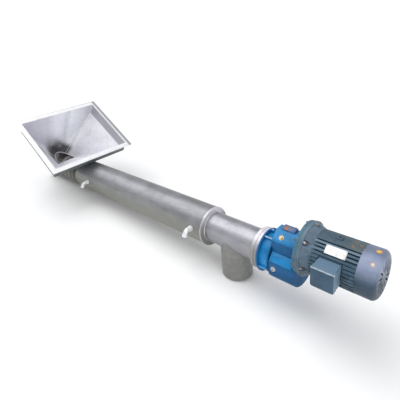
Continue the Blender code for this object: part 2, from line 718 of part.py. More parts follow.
def seat_on_floor(axis):
    """Lay the tube on its spout's rim and its feed-end flange, over the origin."""
    drop = SPOUT_DROP - FEED_FLANGE_R
    run = SPOUT_X - SPOUT_R - (FEED_FLANGE_X - FEED_FLANGE)
    axis.rotation_euler = (0.0, -atan(drop / run), 0.0)
    bpy.context.view_layer.update()
    graph = bpy.context.evaluated_depsgraph_get()
    points = []
    for obj in bpy.data.objects:
        if obj.type == "MESH" and not obj.hide_render:
            solid = obj.evaluated_get(graph)
            points.extend(solid.matrix_world @ v.co for v in solid.data.vertices)
    low = [min(p[i] for p in points) for i in range(3)]
    high = [max(p[i] for p in points) for i in range(3)]
    axis.location = (-(low[0] + high[0]) / 2, -(low[1] + high[1]) / 2, -low[2])
    bpy.context.view_layer.update()


def main():
    clear_scene()
    steel = material("tube_steel", (0.36, 0.36, 0.36), 0.42, 0.9)
    bright = material("bright_steel", (0.72, 0.72, 0.74), 0.30, 0.9)
    sheet = material("hopper_sheet", (0.62, 0.62, 0.68), 0.28, 0.9)
    dark = material("screw_steel", (0.16, 0.13, 0.11), 0.50, 0.7)
    iron = material("bearing_iron", (0.20, 0.21, 0.22), 0.60, 0.4)
    blue = material("gearbox_blue", (0.012, 0.12, 0.33), 0.35, 0.0)
    blue_light = material("gearbox_cover_blue", (0.03, 0.19, 0.46), 0.32, 0.0)
    brass = material("breather_brass", (0.60, 0.36, 0.08), 0.35, 0.8)
    grey = material("plug_steel", (0.38, 0.38, 0.38), 0.40, 0.8)
    teal = material("adapter_grey", (0.10, 0.14, 0.17), 0.45, 0.1)
    slate = material("motor_slate", (0.055, 0.10, 0.16), 0.42, 0.1)
    cowl_paint = material("cowl_slate", (0.16, 0.20, 0.30), 0.35, 0.2)
    plate = material("nameplate_white", (0.75, 0.75, 0.70), 0.40, 0.2)
    axis = empty("tube_axis")
    screw_axis = empty("screw_axis", axis)
    build_hopper(axis, sheet, bright)
    build_tubes(axis, steel, bright)
    bearing_end = build_feed_end(axis, bright, iron)
    shaft_stop, motor_x = build_gearbox(axis, bright, blue, blue_light, brass, grey, teal)
    build_screw(screw_axis, bearing_end, shaft_stop, dark)
    build_motor(axis, motor_x, slate, cowl_paint, plate, dark)
    seat_on_floor(axis)


main()
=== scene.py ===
import json
from math import atan2, cos, pi, radians, sin, sqrt
from random import Random

import bmesh
import bpy
from mathutils import Matrix, Vector


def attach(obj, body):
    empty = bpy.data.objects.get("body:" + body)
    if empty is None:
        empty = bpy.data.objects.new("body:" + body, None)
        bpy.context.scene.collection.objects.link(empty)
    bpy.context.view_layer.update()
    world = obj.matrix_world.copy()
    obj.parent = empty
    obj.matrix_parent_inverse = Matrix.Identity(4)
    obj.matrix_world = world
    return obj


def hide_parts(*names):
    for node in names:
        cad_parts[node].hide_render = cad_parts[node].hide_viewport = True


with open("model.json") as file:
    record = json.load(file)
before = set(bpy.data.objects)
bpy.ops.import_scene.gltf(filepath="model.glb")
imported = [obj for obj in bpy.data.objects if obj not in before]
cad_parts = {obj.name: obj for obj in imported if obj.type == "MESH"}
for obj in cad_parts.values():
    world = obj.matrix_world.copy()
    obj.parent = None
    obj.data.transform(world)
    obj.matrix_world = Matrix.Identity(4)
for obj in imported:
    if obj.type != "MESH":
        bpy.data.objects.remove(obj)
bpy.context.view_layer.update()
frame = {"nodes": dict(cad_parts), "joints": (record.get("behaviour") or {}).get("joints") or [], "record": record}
slotOf = {row["node"]: row["material_slot"] for row in frame["record"]["subparts"]}


def shift(x=0.0, y=0.0, z=0.0):
    return Matrix.Translation((x, y, z))


def turned(angle, axis):
    return Matrix.Rotation(angle, 4, axis)


# The tube's own frame: x along the tube with 0 at the drive end of the jacket, z up, near side -y
screwJoint = frame["joints"][0]
jointOnTube = -0.7
lean = atan2(screwJoint["axis"][2], screwJoint["axis"][0])
tube = shift(*screwJoint["pos_m"]) @ turned(-lean, "Y") @ shift(-jointOnTube)
towardDrive, towardFeed = turned(pi / 2, "Y"), turned(-pi / 2, "Y")      # +z into +x and -x
towardNear = turned(pi / 2, "X")       # +z into -y
motorZ = 0.0995                        # the motor's axis above the tube's
rimCentre, rimSlope = (-1.4020, 0.0, 0.3325), radians(34.3)
gap = 0.0003                           # between pieces that touch
fine = 160                             # steps round the large tubes
signs = ((-1, -1), (-1, 1), (1, -1), (1, 1))
chance = Random(11)


def linked(name, data):
    obj = bpy.data.objects.new(name, data)
    bpy.context.scene.collection.objects.link(obj)
    return obj


def looseObject(bm, name="work"):
    mesh = bpy.data.meshes.new(name)
    bm.to_mesh(mesh)
    bm.free()
    return linked(name, mesh)


def discard(obj):
    data = obj.data
    bpy.data.objects.remove(obj)
    (bpy.data.curves if isinstance(data, bpy.types.Curve) else bpy.data.meshes).remove(data)


def evaluated(obj):                    # the object's final shape; the object itself goes
    bm = bmesh.new()
    mesh = bpy.data.meshes.new_from_object(obj.evaluated_get(bpy.context.evaluated_depsgraph_get()))
    bm.from_mesh(mesh)
    bpy.data.meshes.remove(mesh)
    discard(obj)
    return bm


def tidied(bm):
    bmesh.ops.remove_doubles(bm, verts=bm.verts, dist=2e-6)
    bmesh.ops.recalc_face_normals(bm, faces=bm.faces)
    return bm


def moved(bm, place):
    bmesh.ops.transform(bm, matrix=place, verts=bm.verts)
    return bm


def carved(bm, tool, operation="DIFFERENCE"):
    body, knife = looseObject(tidied(bm)), looseObject(tidied(tool))
    cut = body.modifiers.new("cut", "BOOLEAN")
    cut.operation, cut.solver, cut.object = operation, "EXACT", knife
    made = evaluated(body)
    discard(knife)
    return made


def thickened(bm, thickness):          # a wall that grows along its normals; its outside takes material 1
    for face in bm.faces:
        face.material_index = 1
    sheet = looseObject(bm)
    for side in range(2):
        sheet.data.materials.append(None)
    wall = sheet.modifiers.new("wall", "SOLIDIFY")
    wall.thickness, wall.offset, wall.use_even_offset = thickness, 1.0, True
    wall.material_offset, wall.material_offset_rim = -1, -1
    return evaluated(sheet)


def add(bm, other, *places):           # joins a shape on, once at each place if any are given
    for place in places or (Matrix(),):
        mesh = bpy.data.meshes.new("part")
        other.to_mesh(mesh)
        mesh.transform(place)
        bm.from_mesh(mesh)
        bpy.data.meshes.remove(mesh)
    other.free()
    return bm


def finish(name, bm, paint, slot, nodes=(), body="conveyor", smooth=35, outside=None):
    obj = looseObject(moved(tidied(bm), tube), name)
    obj.data.shade_smooth()
    obj.data.set_sharp_from_angle(angle=radians(smooth))
    for skin in (paint, outside):
        if skin:
            obj.data.materials.append(paints[skin])
    if nodes:
        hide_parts(*nodes)
    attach(obj, body)


def replace(node, bm, paint, **more):  # a finer piece with its node's name, in place of the node
    finish(node.title().replace("_", ""), bm, paint, slotOf[node], [node], **more)


def spun(outline, steps=fine, centreZ=0.0):      # a closed outline of (x, radius) points
    bm = bmesh.new()
    verts = [bm.verts.new((x, 0.0, r)) for x, r in outline]
    for one, two in zip(verts, verts[1:] + verts[:1]):
        if one.co.z > 0.0 or two.co.z > 0.0:
            bm.edges.new((one, two))
    bmesh.ops.spin(bm, geom=bm.verts[:] + bm.edges[:], cent=(0, 0, 0), axis=(1, 0, 0),
                   angle=2 * pi, steps=steps, use_merge=True)
    return tidied(moved(bm, shift(z=centreZ)))


def ring(x0, x1, outer, inner, steps=fine):
    return spun([(x0, inner), (x0, outer), (x1, outer), (x1, inner)], steps)


def disc(x0, x1, radius, steps=fine, centreZ=0.0):
    return spun([(x0, 0.0), (x0, radius), (x1, radius), (x1, 0.0)], steps, centreZ)


def block(low, high):
    bm = bmesh.new()
    size, middle = Vector(high) - Vector(low), (Vector(high) + Vector(low)) / 2
    bmesh.ops.create_cube(bm, size=1.0, matrix=Matrix.Translation(middle) @ Matrix.Diagonal((*size, 1.0)))
    return bm


def rectangle(halfX, halfY):
    bm = bmesh.new()
    bmesh.ops.create_grid(bm, x_segments=1, y_segments=1, size=1.0,
                          matrix=Matrix.Diagonal((halfX, halfY, 1, 1)))
    return bm


def drawnOut(bm, vec):                 # every face drawn out into a solid
    made = bmesh.ops.extrude_face_region(bm, geom=bm.faces[:])["geom"]
    bmesh.ops.translate(bm, verts=[item for item in made if isinstance(item, bmesh.types.BMVert)], vec=vec)
    return bm


def openRing(bm, edges):               # draws a loop of edges out and returns the new verts and edges
    made = bmesh.ops.extrude_edge_only(bm, edges=edges)["geom"]
    return ([item for item in made if isinstance(item, bmesh.types.BMVert)],
            [item for item in made if isinstance(item, bmesh.types.BMEdge)])


def rounded(bm, width, segments=2, angle=40, where=None):
    sharp = [edge for edge in bm.edges if len(edge.link_faces) == 2
             and edge.calc_face_angle(0.0) > radians(angle) and (where is None or where(edge))]
    bmesh.ops.bevel(bm, geom=sharp, offset=width, affect="EDGES", segments=segments, profile=0.5,
                    material=-1, clamp_overlap=True)
    return bm


def ends(edge, axis):                  # an edge's low and high end on an axis
    return sorted(vert.co[axis] for vert in edge.verts)


def along(axis, least):                # picks the edges that run along an axis
    return lambda edge: ends(edge, axis)[1] - ends(edge, axis)[0] > least


def around(angle, radius, x, centreZ=0.0):       # +z points out; angle from the top to the near side
    return shift(x, 0, centreZ) @ turned(angle, "X") @ shift(z=radius)


def evenly(count, start):
    return [start + 2 * pi * i / count for i in range(count)]


def flange(node, x0, x1, outer, inner, edge, paint):
    replace(node, rounded(ring(x0, x1, outer, inner), edge), paint)


def boltShape(across, height, washer=0.0, stud=0.0, sides=6):
    bm, head = bmesh.new(), bmesh.new()
    radius = across / sqrt(3) if sides == 6 else across / 2
    for target, segments, low, high, foot, depth in (
            (bm, 20, across * 0.72, across * 0.72, 0.0, washer),
            (head, sides, radius, radius, washer, height),
            (bm, 12, across * 0.3, across * 0.26, washer + height, stud)):
        if depth:
            bmesh.ops.create_cone(target, cap_ends=True, segments=segments, radius1=low, radius2=high,
                                  depth=depth, matrix=shift(z=foot + depth / 2))
    top = [edge for edge in head.edges if ends(edge, 2)[0] > washer + height * 0.9]
    bmesh.ops.bevel(head, geom=top, offset=across * 0.08, affect="EDGES", segments=1, profile=0.5,
                    material=-1)
    return add(bm, head)


def boltCircle(bm, sizes, angles, radius, x, turn, centreZ=0.0):
    add(bm, boltShape(*sizes), *(around(angle, radius, x, centreZ) @ turn
                                 @ turned(chance.uniform(0, pi / 3), "Z") for angle in angles))


def spaced(points, pitch, closed):     # the same path with its points a pitch apart
    path = [Vector(p) for p in points] + ([Vector(points[0])] if closed else [])
    lengths = [(b - a).length for a, b in zip(path, path[1:])]
    count = max(3, round(sum(lengths) / pitch))
    made, index, gone = [], 0, 0.0
    for i in range(count if closed else count + 1):
        goal = sum(lengths) * i / count
        while index < len(lengths) - 1 and gone + lengths[index] < goal:
            gone += lengths[index]
            index += 1
        made.append(path[index].lerp(path[index + 1], (goal - gone) / max(lengths[index], 1e-9)))
    return made


def addBead(bm, points, radius, closed=True, pitch=0.0032, ripple=0.2):    # a rippled weld bead
    path = spaced(points, pitch, closed)
    curve = bpy.data.curves.new("bead", "CURVE")
    curve.dimensions, curve.bevel_depth, curve.bevel_resolution = "3D", radius, 2
    curve.use_fill_caps = not closed
    spline = curve.splines.new("POLY")
    spline.points.add(len(path) - 1)
    spline.use_cyclic_u = closed
    for i, (point, place) in enumerate(zip(spline.points, path)):
        point.co = (*place, 1.0)
        point.radius = 1.0 + ripple * (i % 2) - ripple * chance.random() * 0.7
    add(bm, evaluated(linked("bead", curve)))


def weld(name, beads, steel="weldSteel"):        # each bead is a path and a radius, and False if it is open
    bm = bmesh.new()
    for bead in beads:
        addBead(bm, *bead)
    finish(name, bm, steel, "bright_steel", smooth=60)


# Shader helpers

class Value:
    def __init__(self, paint, socket):
        self.paint, self.socket = paint, socket

    def calc(self, operation, *values, clamp=False):
        return self.paint.node("ShaderNodeMath", {"operation": operation, "use_clamp": clamp},
                               dict(enumerate(values)))

    def __add__(self, other): return self.calc("ADD", self, other)
    def __radd__(self, other): return self.calc("ADD", other, self)
    def __sub__(self, other): return self.calc("SUBTRACT", self, other)
    def __rsub__(self, other): return self.calc("SUBTRACT", other, self)
    def __mul__(self, other): return self.calc("MULTIPLY", self, other)
    def __rmul__(self, other): return self.calc("MULTIPLY", other, self)
    def __truediv__(self, other): return self.calc("DIVIDE", self, other)
    def __pow__(self, other): return self.calc("POWER", self, other)
    def size(self): return self.calc("ABSOLUTE", self)
    def within(self): return self.calc("ADD", self, 0.0, clamp=True)

    def rise(self, low, high):           # 0 below low, 1 above high, smooth between; low may be the larger
        return self.paint.node("ShaderNodeMapRange", {"interpolation_type": "SMOOTHSTEP"},
                               {"Value": self, "From Min": low, "From Max": high})


class Paint:
    def __init__(self, name, metallic=0.0, roughness=0.5, coat=0.0, coatRoughness=0.2, centreZ=0.0,
                 gloss=0.5):
        self.material = bpy.data.materials.new(name)
        self.material.use_nodes = True
        self.tree = self.material.node_tree
        self.shader = self.tree.nodes["Principled BSDF"]
        for key, value in (("Metallic", metallic), ("Roughness", roughness), ("Coat Weight", coat),
                           ("Coat Roughness", coatRoughness), ("Specular IOR Level", gloss)):
            self.shader.inputs[key].default_value = value
        onObject = self.node("ShaderNodeTexCoord", output="Object")
        self.place = self.node("ShaderNodeMapping", {"vector_type": "TEXTURE"}, {
            "Vector": onObject, "Location": tube @ Vector((0, 0, centreZ)), "Rotation": (0, -lean, 0)})
        self.x, self.y, self.z = (self.node("ShaderNodeSeparateXYZ", None, {0: self.place}, axis)
                                  for axis in range(3))

    def node(self, kind, settings=None, inputs=None, output=0):
        made = self.tree.nodes.new(kind)
        for key, value in (settings or {}).items():
            if key == "stops":
                ramp = made.color_ramp
                while len(ramp.elements) < len(value):
                    ramp.elements.new(1.0)
                for element, (position, colour) in zip(ramp.elements, value):
                    element.position, element.color = position, (*colour, 1.0)
            else:
                setattr(made, key, value)
        for key, value in (inputs or {}).items():
            self.plug(made.inputs[key], value)
        return Value(self, made.outputs[output])

    def plug(self, socket, value):
        if isinstance(value, Value):
            self.tree.links.new(value.socket, socket)
        else:
            socket.default_value = (*value, 1.0) if socket.type == "RGBA" else value

    def set(self, **sockets):
        names = {"colour": "Base Color", "roughness": "Roughness", "coat": "Coat Weight",
                 "normal": "Normal"}
        for key, value in sockets.items():
            self.plug(self.shader.inputs[names[key]], value)
        return self.material

    def noise(self, scale, detail=4.0, roughness=0.55, stretch=None, distortion=0.0, shift=0.0):
        source = self.place
        if stretch:                          # along, across and, if it differs, up
            source = self.node("ShaderNodeVectorMath", {"operation": "MULTIPLY"},
                               {0: source, 1: (*stretch, stretch[-1])[:3]})
        if shift:
            source = self.node("ShaderNodeVectorMath", {"operation": "ADD"}, {0: source, 1: (shift,) * 3})
        return self.node("ShaderNodeTexNoise", None, {"Vector": source, "Scale": scale, "Detail": detail,
                                                      "Roughness": roughness, "Distortion": distortion})

    def mix(self, factor, one, two, blend="MIX"):
        return self.node("ShaderNodeMix", {"data_type": "RGBA", "blend_type": blend},
                         {0: factor, 6: one, 7: two}, 2)

    def ramp(self, factor, stops):
        return self.node("ShaderNodeValToRGB", {"stops": stops}, {0: factor})

    def bump(self, height, strength, distance):
        return self.node("ShaderNodeBump", None,
                         {"Height": height, "Strength": strength, "Distance": distance})

    def band(self, value, low, high, soft):      # 1 between low and high
        return value.rise(low - soft, low) * (1 - value.rise(high, high + soft))

    def fromTop(self):                           # angle round the axis from the top to the near side
        return self.node("ShaderNodeMath", {"operation": "ARCTAN2"}, {0: 0 - self.y, 1: self.z})

    def radius(self):
        return (self.y * self.y + self.z * self.z) ** 0.5

    def patched(self, name, colour):             # lays a finish's patches over its colour: its own marks, and painted light and shade
        shares = []
        for mask, strength, tint in patchesOf.get(name, lambda paint: ())(self):
            shares.append(mask * strength)
            colour = self.mix(shares[-1].within(), colour, tint)
        return colour, shares


# Patches: each is where it lies, how strong it is and its colour

def underside(low, high, strength, tint):        # painted shade: a darker colour round the underside
    return lambda paint: ((paint.fromTop().size().rise(low, high), strength, tint),)


def feedBands(paint):                  # dark bands round the feed shell
    band = paint.noise(1.0, 2.0, 0.5, (20.0, 1.2), shift=3.0).rise(0.42, 0.60)
    return ((band, 0.85, (0.028, 0.029, 0.024)),)


def rimPatches(paint):                 # painted shade on the far bar, and a grey line along the back and far edges
    far = paint.y.rise(0.3185, 0.3200)
    downSlope = (paint.x - rimCentre[0]) * cos(rimSlope) - (paint.z - rimCentre[2]) * sin(rimSlope)
    edge = (paint.y.rise(0.3432, 0.3440) + (0 - downSlope).rise(0.2765, 0.2785)).within()
    return ((far, 0.85, (0.29, 0.29, 0.32)), (edge, 0.7, (0.34, 0.34, 0.36)))


def gearPatches(paint):                # worn rib edges with a painted highlight on the upper ribs, and painted shade on the lower sides, neck joint and output flange
    ribs = paint.radius().rise(0.1055, 0.1075) * paint.band(paint.x, 0.3595, 0.4115, 0.001)
    nick = paint.noise(160.0, 3.0, 0.6, shift=6.0).rise(0.35, 0.6)
    housing = paint.x.rise(0.4060, 0.4130)
    # painted shade: darker below the housing's waist, under its belly, where the neck meets the housing, and on
    # the output flange
    waist = paint.z.rise(0.120, 0.108) * housing
    belly = paint.z.rise(0.010, -0.050) * housing
    neckJointShade = paint.band(paint.x, 0.4020, 0.4130, 0.003)
    output = paint.x.rise(0.3600, 0.3590)
    # the last patch: worn rib edges, made brighter on the upper ribs as a painted highlight
    return ((waist, 0.72, (0.003, 0.060, 0.180)), (belly, 0.5, (0.004, 0.048, 0.120)),
            (output, 0.70, (0.003, 0.070, 0.200)), (neckJointShade, 0.5, (0.003, 0.050, 0.140)),
            (ribs * nick * (0.35 + paint.z.rise(-0.02, 0.03) * 0.55), 1.0, (0.50, 0.62, 0.72)))


def coverPatches(paint):               # rust on the top cover alone
    rust = paint.z.rise(0.158, 0.162) * paint.noise(60.0, 5.0, 0.7, shift=7.0).rise(0.42, 0.58)
    return ((rust, 0.95, (0.42, 0.17, 0.05)),)


def flangePatches(paint):              # reddish primer low down, and painted highlight lines along the edges
    primer = paint.noise(38.0, 4.0, 0.6, shift=2.0).rise(0.50, 0.60)
    low = paint.band(paint.fromTop(), 1.35, 1.85, 0.15)
    # painted highlight along both edges of the rim
    sides = paint.x.rise(0.5478, 0.5470) + paint.x.rise(0.5635, 0.5643)
    edge = paint.radius().rise(0.1232, 0.1244) * sides
    return ((primer * low, 0.7, (0.20, 0.10, 0.09)), (edge, 0.6, (0.26, 0.36, 0.42)))


def shieldPatches(paint):              # painted highlight lines along the motor flange's edges
    sides = paint.x.rise(0.5665, 0.5657) + paint.x.rise(0.5762, 0.5770)
    edge = paint.radius().rise(0.1257, 0.1268) * sides
    return ((edge, 0.6, (0.26, 0.34, 0.40)),)


def motorPatches(paint):               # sun-bleached top with rust spots, and painted highlights on two bands of fin lands; z is from the motor's axis
    turn = paint.fromTop()
    bleach = turn.size().rise(0.41, 0.33) * paint.radius().rise(0.098, 0.103)
    rust = paint.noise(70.0, 4.0, 0.7, shift=7.0).rise(0.56, 0.62) * bleach * paint.x.rise(0.735, 0.750)
    # painted highlight on two bands of fin lands
    lands = paint.band(turn, 0.42, 0.53, 0.03) + paint.band(turn, 0.73, 0.86, 0.03) * 0.6
    landHighlight = lands * paint.radius().rise(0.099, 0.103)
    return ((bleach, 0.35, (0.045, 0.065, 0.070)), (landHighlight, 0.75, (0.17, 0.25, 0.32)),
            (bleach * paint.x.rise(0.70, 0.78), 0.4, (0.12, 0.15, 0.13)), (rust, 0.95, (0.45, 0.18, 0.05)))


def boxPatches(paint):                 # painted light on the top and on the drive-end side, and a painted highlight along the lid's top front edge
    top = paint.z.rise(0.0462, 0.0475)
    edge = (paint.band(paint.z, 0.0425, 0.0478, 0.001) * (0 - paint.y).rise(0.1570, 0.1585)
            * paint.noise(60.0, 3.0, 0.6, shift=3.0).rise(0.30, 0.48))
    return ((top, 0.7, (0.15, 0.24, 0.34)), (paint.x.rise(0.7435, 0.7450), 0.8, (0.18, 0.26, 0.33)),
            (edge, 0.9, (0.50, 0.58, 0.64)))


def cowlPatches(paint):                # painted light and shade round the cowl: dark round the near underside, lighter over the top and far side, and soft lighter bands between
    turn = paint.fromTop()
    return ((turn.rise(1.0, 1.75), 0.62, (0.016, 0.034, 0.052)),
            (turn.rise(0.32, 0.02), 0.5, (0.10, 0.12, 0.17)),
            (paint.band(turn, 0.52, 0.72, 0.15), 0.4, (0.34, 0.38, 0.52)),
            (paint.band(turn, 0.95, 1.15, 0.12), 0.25, (0.10, 0.12, 0.17)))


# painted shade round the undersides of the tube, jacket, seam ring and flanges; olive on the jacket and seam ring
olive = underside(0.8, 1.7, 0.75, (0.235, 0.24, 0.20))
patchesOf = {"tubeSteel": underside(0.9, 1.7, 0.55, (0.25, 0.255, 0.26)), "jacketSteel": olive,
             "seamRingSteel": olive, "flangeSteel": underside(0.4, 1.3, 0.85, (0.22, 0.215, 0.205)),
             "feedSteel": feedBands, "rimSteel": rimPatches, "gearboxBlue": gearPatches,
             "coverBlue": coverPatches, "adapterPaint": flangePatches, "motorSlate": motorPatches,
             "shieldSlate": shieldPatches, "boxSlate": boxPatches, "cowlSlate": cowlPatches}


# Metals

def steelPaint(name, look):
    paint = Paint(name, look["metallic"])
    cloud = paint.noise(look["cloudScale"], 5.0, 0.6)
    streak = paint.noise(1.0, 4.0, 0.65, look["streak"])
    grain = paint.noise(900.0, 2.0, 0.6)
    speck = paint.noise(140.0, 3.0, 0.6, shift=3.0).rise(0.60, 0.74)
    tone = (cloud * 0.55 + streak * 0.45).rise(0.36, 0.64)
    colour = paint.mix(tone, look["dark"], look["light"])
    colour = paint.mix(speck * look["specks"], colour, look["speckColour"])
    stain = paint.noise(7.0, 4.0, 0.65, (1.0, 1.4), shift=8.0).rise(0.56, 0.72)
    colour, shares = paint.patched(name, paint.mix(stain * look["stain"], colour, look["stainColour"]))
    rough = look["roughness"] + (cloud - 0.5) * look["vary"] + (streak - 0.5) * look["vary"]
    height = streak * look["streakBump"] + grain * 0.35 + cloud * look["dentBump"]
    return paint.set(colour=colour, roughness=(rough + stain * 0.12).within(),
                     normal=paint.bump(height, 0.5, look["bump"]))


steelColumns = ("metallic", "cloudScale", "streak", "dark", "light", "specks", "speckColour", "stain",
                "stainColour", "roughness", "vary", "streakBump", "dentBump", "bump")
steels = {
    "tubeSteel": (0.8, 9, (9, 170), (0.31, 0.31, 0.335), (0.44, 0.435, 0.475), 0.4, (0.5, 0.5, 0.5), 0.35,
                  (0.26, 0.265, 0.25), 0.44, 0.12, 0.6, 0.5, 0.0005),
    "jacketSteel": (0.7, 9, (9, 170), (0.235, 0.237, 0.25), (0.335, 0.337, 0.36), 0.4, (0.4, 0.4, 0.4),
                    0.4, (0.21, 0.215, 0.19), 0.46, 0.12, 0.6, 0.5, 0.0005),
    # the feed shell's dark colours are partly real soiling and partly painted shadow from the hopper
    "feedSteel": (0.45, 12, (20, 60), (0.17, 0.17, 0.145), (0.27, 0.27, 0.24), 0.3, (0.25, 0.25, 0.22),
                  0.4, (0.08, 0.08, 0.07), 0.58, 0.12, 0.5, 0.5, 0.0005),
    # the hopper's outside: its dark colours are painted shade
    "shellSteel": (0.35, 9, (30, 60), (0.12, 0.14, 0.14), (0.19, 0.215, 0.215), 0.3, (0.22, 0.23, 0.23),
                   0.4, (0.06, 0.07, 0.07), 0.6, 0.12, 0.5, 0.6, 0.0006),
    "spoutSteel": (0.55, 11, (40, 40), (0.225, 0.23, 0.215), (0.3, 0.3, 0.285), 0.3, (0.4, 0.4, 0.38),
                   0.5, (0.17, 0.175, 0.15), 0.62, 0.12, 0.4, 0.5, 0.0005),
    "brightSteel": (0.85, 14, (30, 200), (0.45, 0.45, 0.47), (0.64, 0.64, 0.67), 0.3, (0.8, 0.8, 0.8),
                    0.3, (0.36, 0.36, 0.34), 0.38, 0.16, 0.5, 0.4, 0.0004),
    "rimSteel": (0.12, 10, (60, 60), (0.86, 0.86, 0.88), (0.95, 0.95, 0.96), 0.3, (0.6, 0.6, 0.6), 0.25,
                 (0.55, 0.55, 0.57), 0.42, 0.14, 0.5, 0.4, 0.0004),
    "weldSteel": (0.8, 40, (120, 120), (0.5, 0.5, 0.52), (0.95, 0.95, 0.95), 0.4, (0.25, 0.24, 0.22), 0.2,
                  (0.4, 0.36, 0.3), 0.34, 0.2, 0.5, 0.4, 0.0004),
    "screwSteel": (0.4, 18, (60, 90), (0.19, 0.172, 0.165), (0.52, 0.48, 0.46), 0.6, (0.5, 0.45, 0.42),
                   0.5, (0.24, 0.19, 0.17), 0.55, 0.2, 0.6, 0.5, 0.0006),
    "plugSteel": (0.85, 60, (90, 90), (0.24, 0.24, 0.24), (0.48, 0.48, 0.48), 0.5, (0.2, 0.16, 0.12), 0.4,
                  (0.2, 0.15, 0.1), 0.42, 0.2, 0.4, 0.4, 0.0003),
    "bearingIron": (0.3, 30, (140, 140), (0.1, 0.105, 0.11), (0.21, 0.215, 0.225), 0.5, (0.3, 0.3, 0.3),
                    0.5, (0.16, 0.1, 0.06), 0.62, 0.14, 0.9, 0.8, 0.001),
    "brass": (0.45, 50, (90, 90), (0.6, 0.38, 0.16), (0.9, 0.7, 0.42), 0.4, (0.3, 0.18, 0.06), 0.3, (0.35,
              0.2, 0.06), 0.36, 0.2, 0.4, 0.4, 0.0003)
}
steels = {name: dict(zip(steelColumns, row)) for name, row in steels.items()}
for name, base, changes in (
        ("flangeSteel", "brightSteel", {"metallic": 0.45, "roughness": 0.52, "dark": (0.60, 0.59, 0.64),
                                        "light": (0.84, 0.82, 0.88)}),
        ("elbowSteel", "brightSteel", {"metallic": 0.45, "dark": (0.74, 0.74, 0.77),
                                       "light": (0.93, 0.93, 0.95)}),
        ("seamSteel", "weldSteel", {"metallic": 0.15, "dark": (0.85, 0.85, 0.87), "light": (1, 1, 1),
                                    "specks": 0.2, "stain": 0.1}),
        ("seamRingSteel", "jacketSteel", {"dark": (0.30, 0.32, 0.28), "light": (0.42, 0.44, 0.39)})):
    steels[name] = {**steels[base], **changes}
paints = {name: steelPaint(name, look) for name, look in steels.items()}

# the collar colour is painted shade on the collar's far side, the folds are painted reflections across the back
# wall, and the darkest colour is painted shade above the throat
sheetLook = {"metallic": 0.06, "dark": (0.86, 0.86, 0.91), "light": (0.97, 0.97, 1.0), "throatShade": 0.92,
             "throatShadeColour": (0.035, 0.034, 0.038), "drip": (0.66, 0.66, 0.69), "roughness": 0.42,
             "collar": (0.40, 0.40, 0.44), "halo": (0.52, 0.52, 0.56),
             "seamSlope": 0.788, "seamAt": 0.0686, "seamFoot": 0.0495,     # the far back seam, seen along x
             "folds": ((0.10, (0.62, 0.61, 0.66)), (0.36, (0.72, 0.71, 0.76)), (0.46, (0.96, 0.95, 1.0)),
                       (0.56, (0.92, 0.93, 0.96)), (0.63, (0.72, 0.74, 0.77)), (0.70, (0.94, 0.95, 0.98)),
                       (0.80, (0.78, 0.79, 0.82)), (0.97, (0.62, 0.62, 0.66)))}


def sheetPaint(look):                  # the hopper's sheet: clouded, with brushed swirls, dull weld heat, painted reflections and painted shade
    paint = Paint("hopperSheet", look["metallic"])
    cloud = paint.noise(6.0, 5.0, 0.62)
    swirl = paint.noise(1.0, 4.0, 0.6, (26.0, 30.0, 60.0), 0.8)
    grain = paint.noise(420.0, 3.0, 0.7)
    colour = paint.mix((cloud * 0.5 + swirl * 0.5).rise(0.38, 0.62), look["dark"], look["light"])
    toSeam = paint.y - (paint.z - look["seamAt"]) * look["seamSlope"] - look["seamFoot"]
    back = toSeam.rise(0.003, -0.003)            # below 0 on the back wall
    wobble = (paint.noise(7.0, 3.0, 0.6, (1.0, 1.0, 0.4), shift=6.0) - 0.5) * 0.10
    folds = paint.ramp((paint.y + wobble) / 0.6 + 0.5, look["folds"])    # painted reflections: soft bright and grey bands across the back wall
    colour = paint.mix(back * paint.z.rise(0.15, 0.24), colour, paint.mix(0.85, colour, folds, "MULTIPLY"))
    inCollar = paint.y.rise(0.3060, 0.3090)      # painted shade on the far side of the collar
    colour = paint.mix(inCollar * 0.9, colour, look["collar"])
    halo = toSeam.size().rise(0.014, 0.003) * (1 - inCollar)
    colour = paint.mix(halo * 0.45, colour, look["halo"])                # dull heat marks beside the seam
    reach = 1 - (paint.y + paint.z * 1.05 + wobble * 0.6).rise(0.200, 0.290)
    low = paint.z.rise(0.320, 0.110) * reach * paint.y.rise(-0.150, -0.070)       # painted shade above the throat's back
    low = low * (1 - paint.x.rise(-1.66, -1.60)) * (1 - toSeam.rise(0.000, 0.030) * 0.9)
    throatShade = (low * (0.75 + paint.noise(16.0, 4.0, 0.6, shift=5.0) * 0.6)).within()
    colour = paint.mix(throatShade * look["throatShade"], colour, look["throatShadeColour"])
    drip = paint.noise(9.0, 3.0, 0.5, (3.0, 3.0, 0.7), shift=2.0).rise(0.60, 0.72)
    colour = paint.mix(drip * 0.35, colour, look["drip"])
    rough = (look["roughness"] + (swirl - 0.5) * 0.22 + throatShade * 0.2).within()
    height = swirl * 0.6 + grain * 0.3 + cloud * 1.4
    return paint.set(colour=colour, roughness=rough, normal=paint.bump(height, 0.6, 0.0012))


paints["hopperSheet"] = sheetPaint(sheetLook)


# Paints

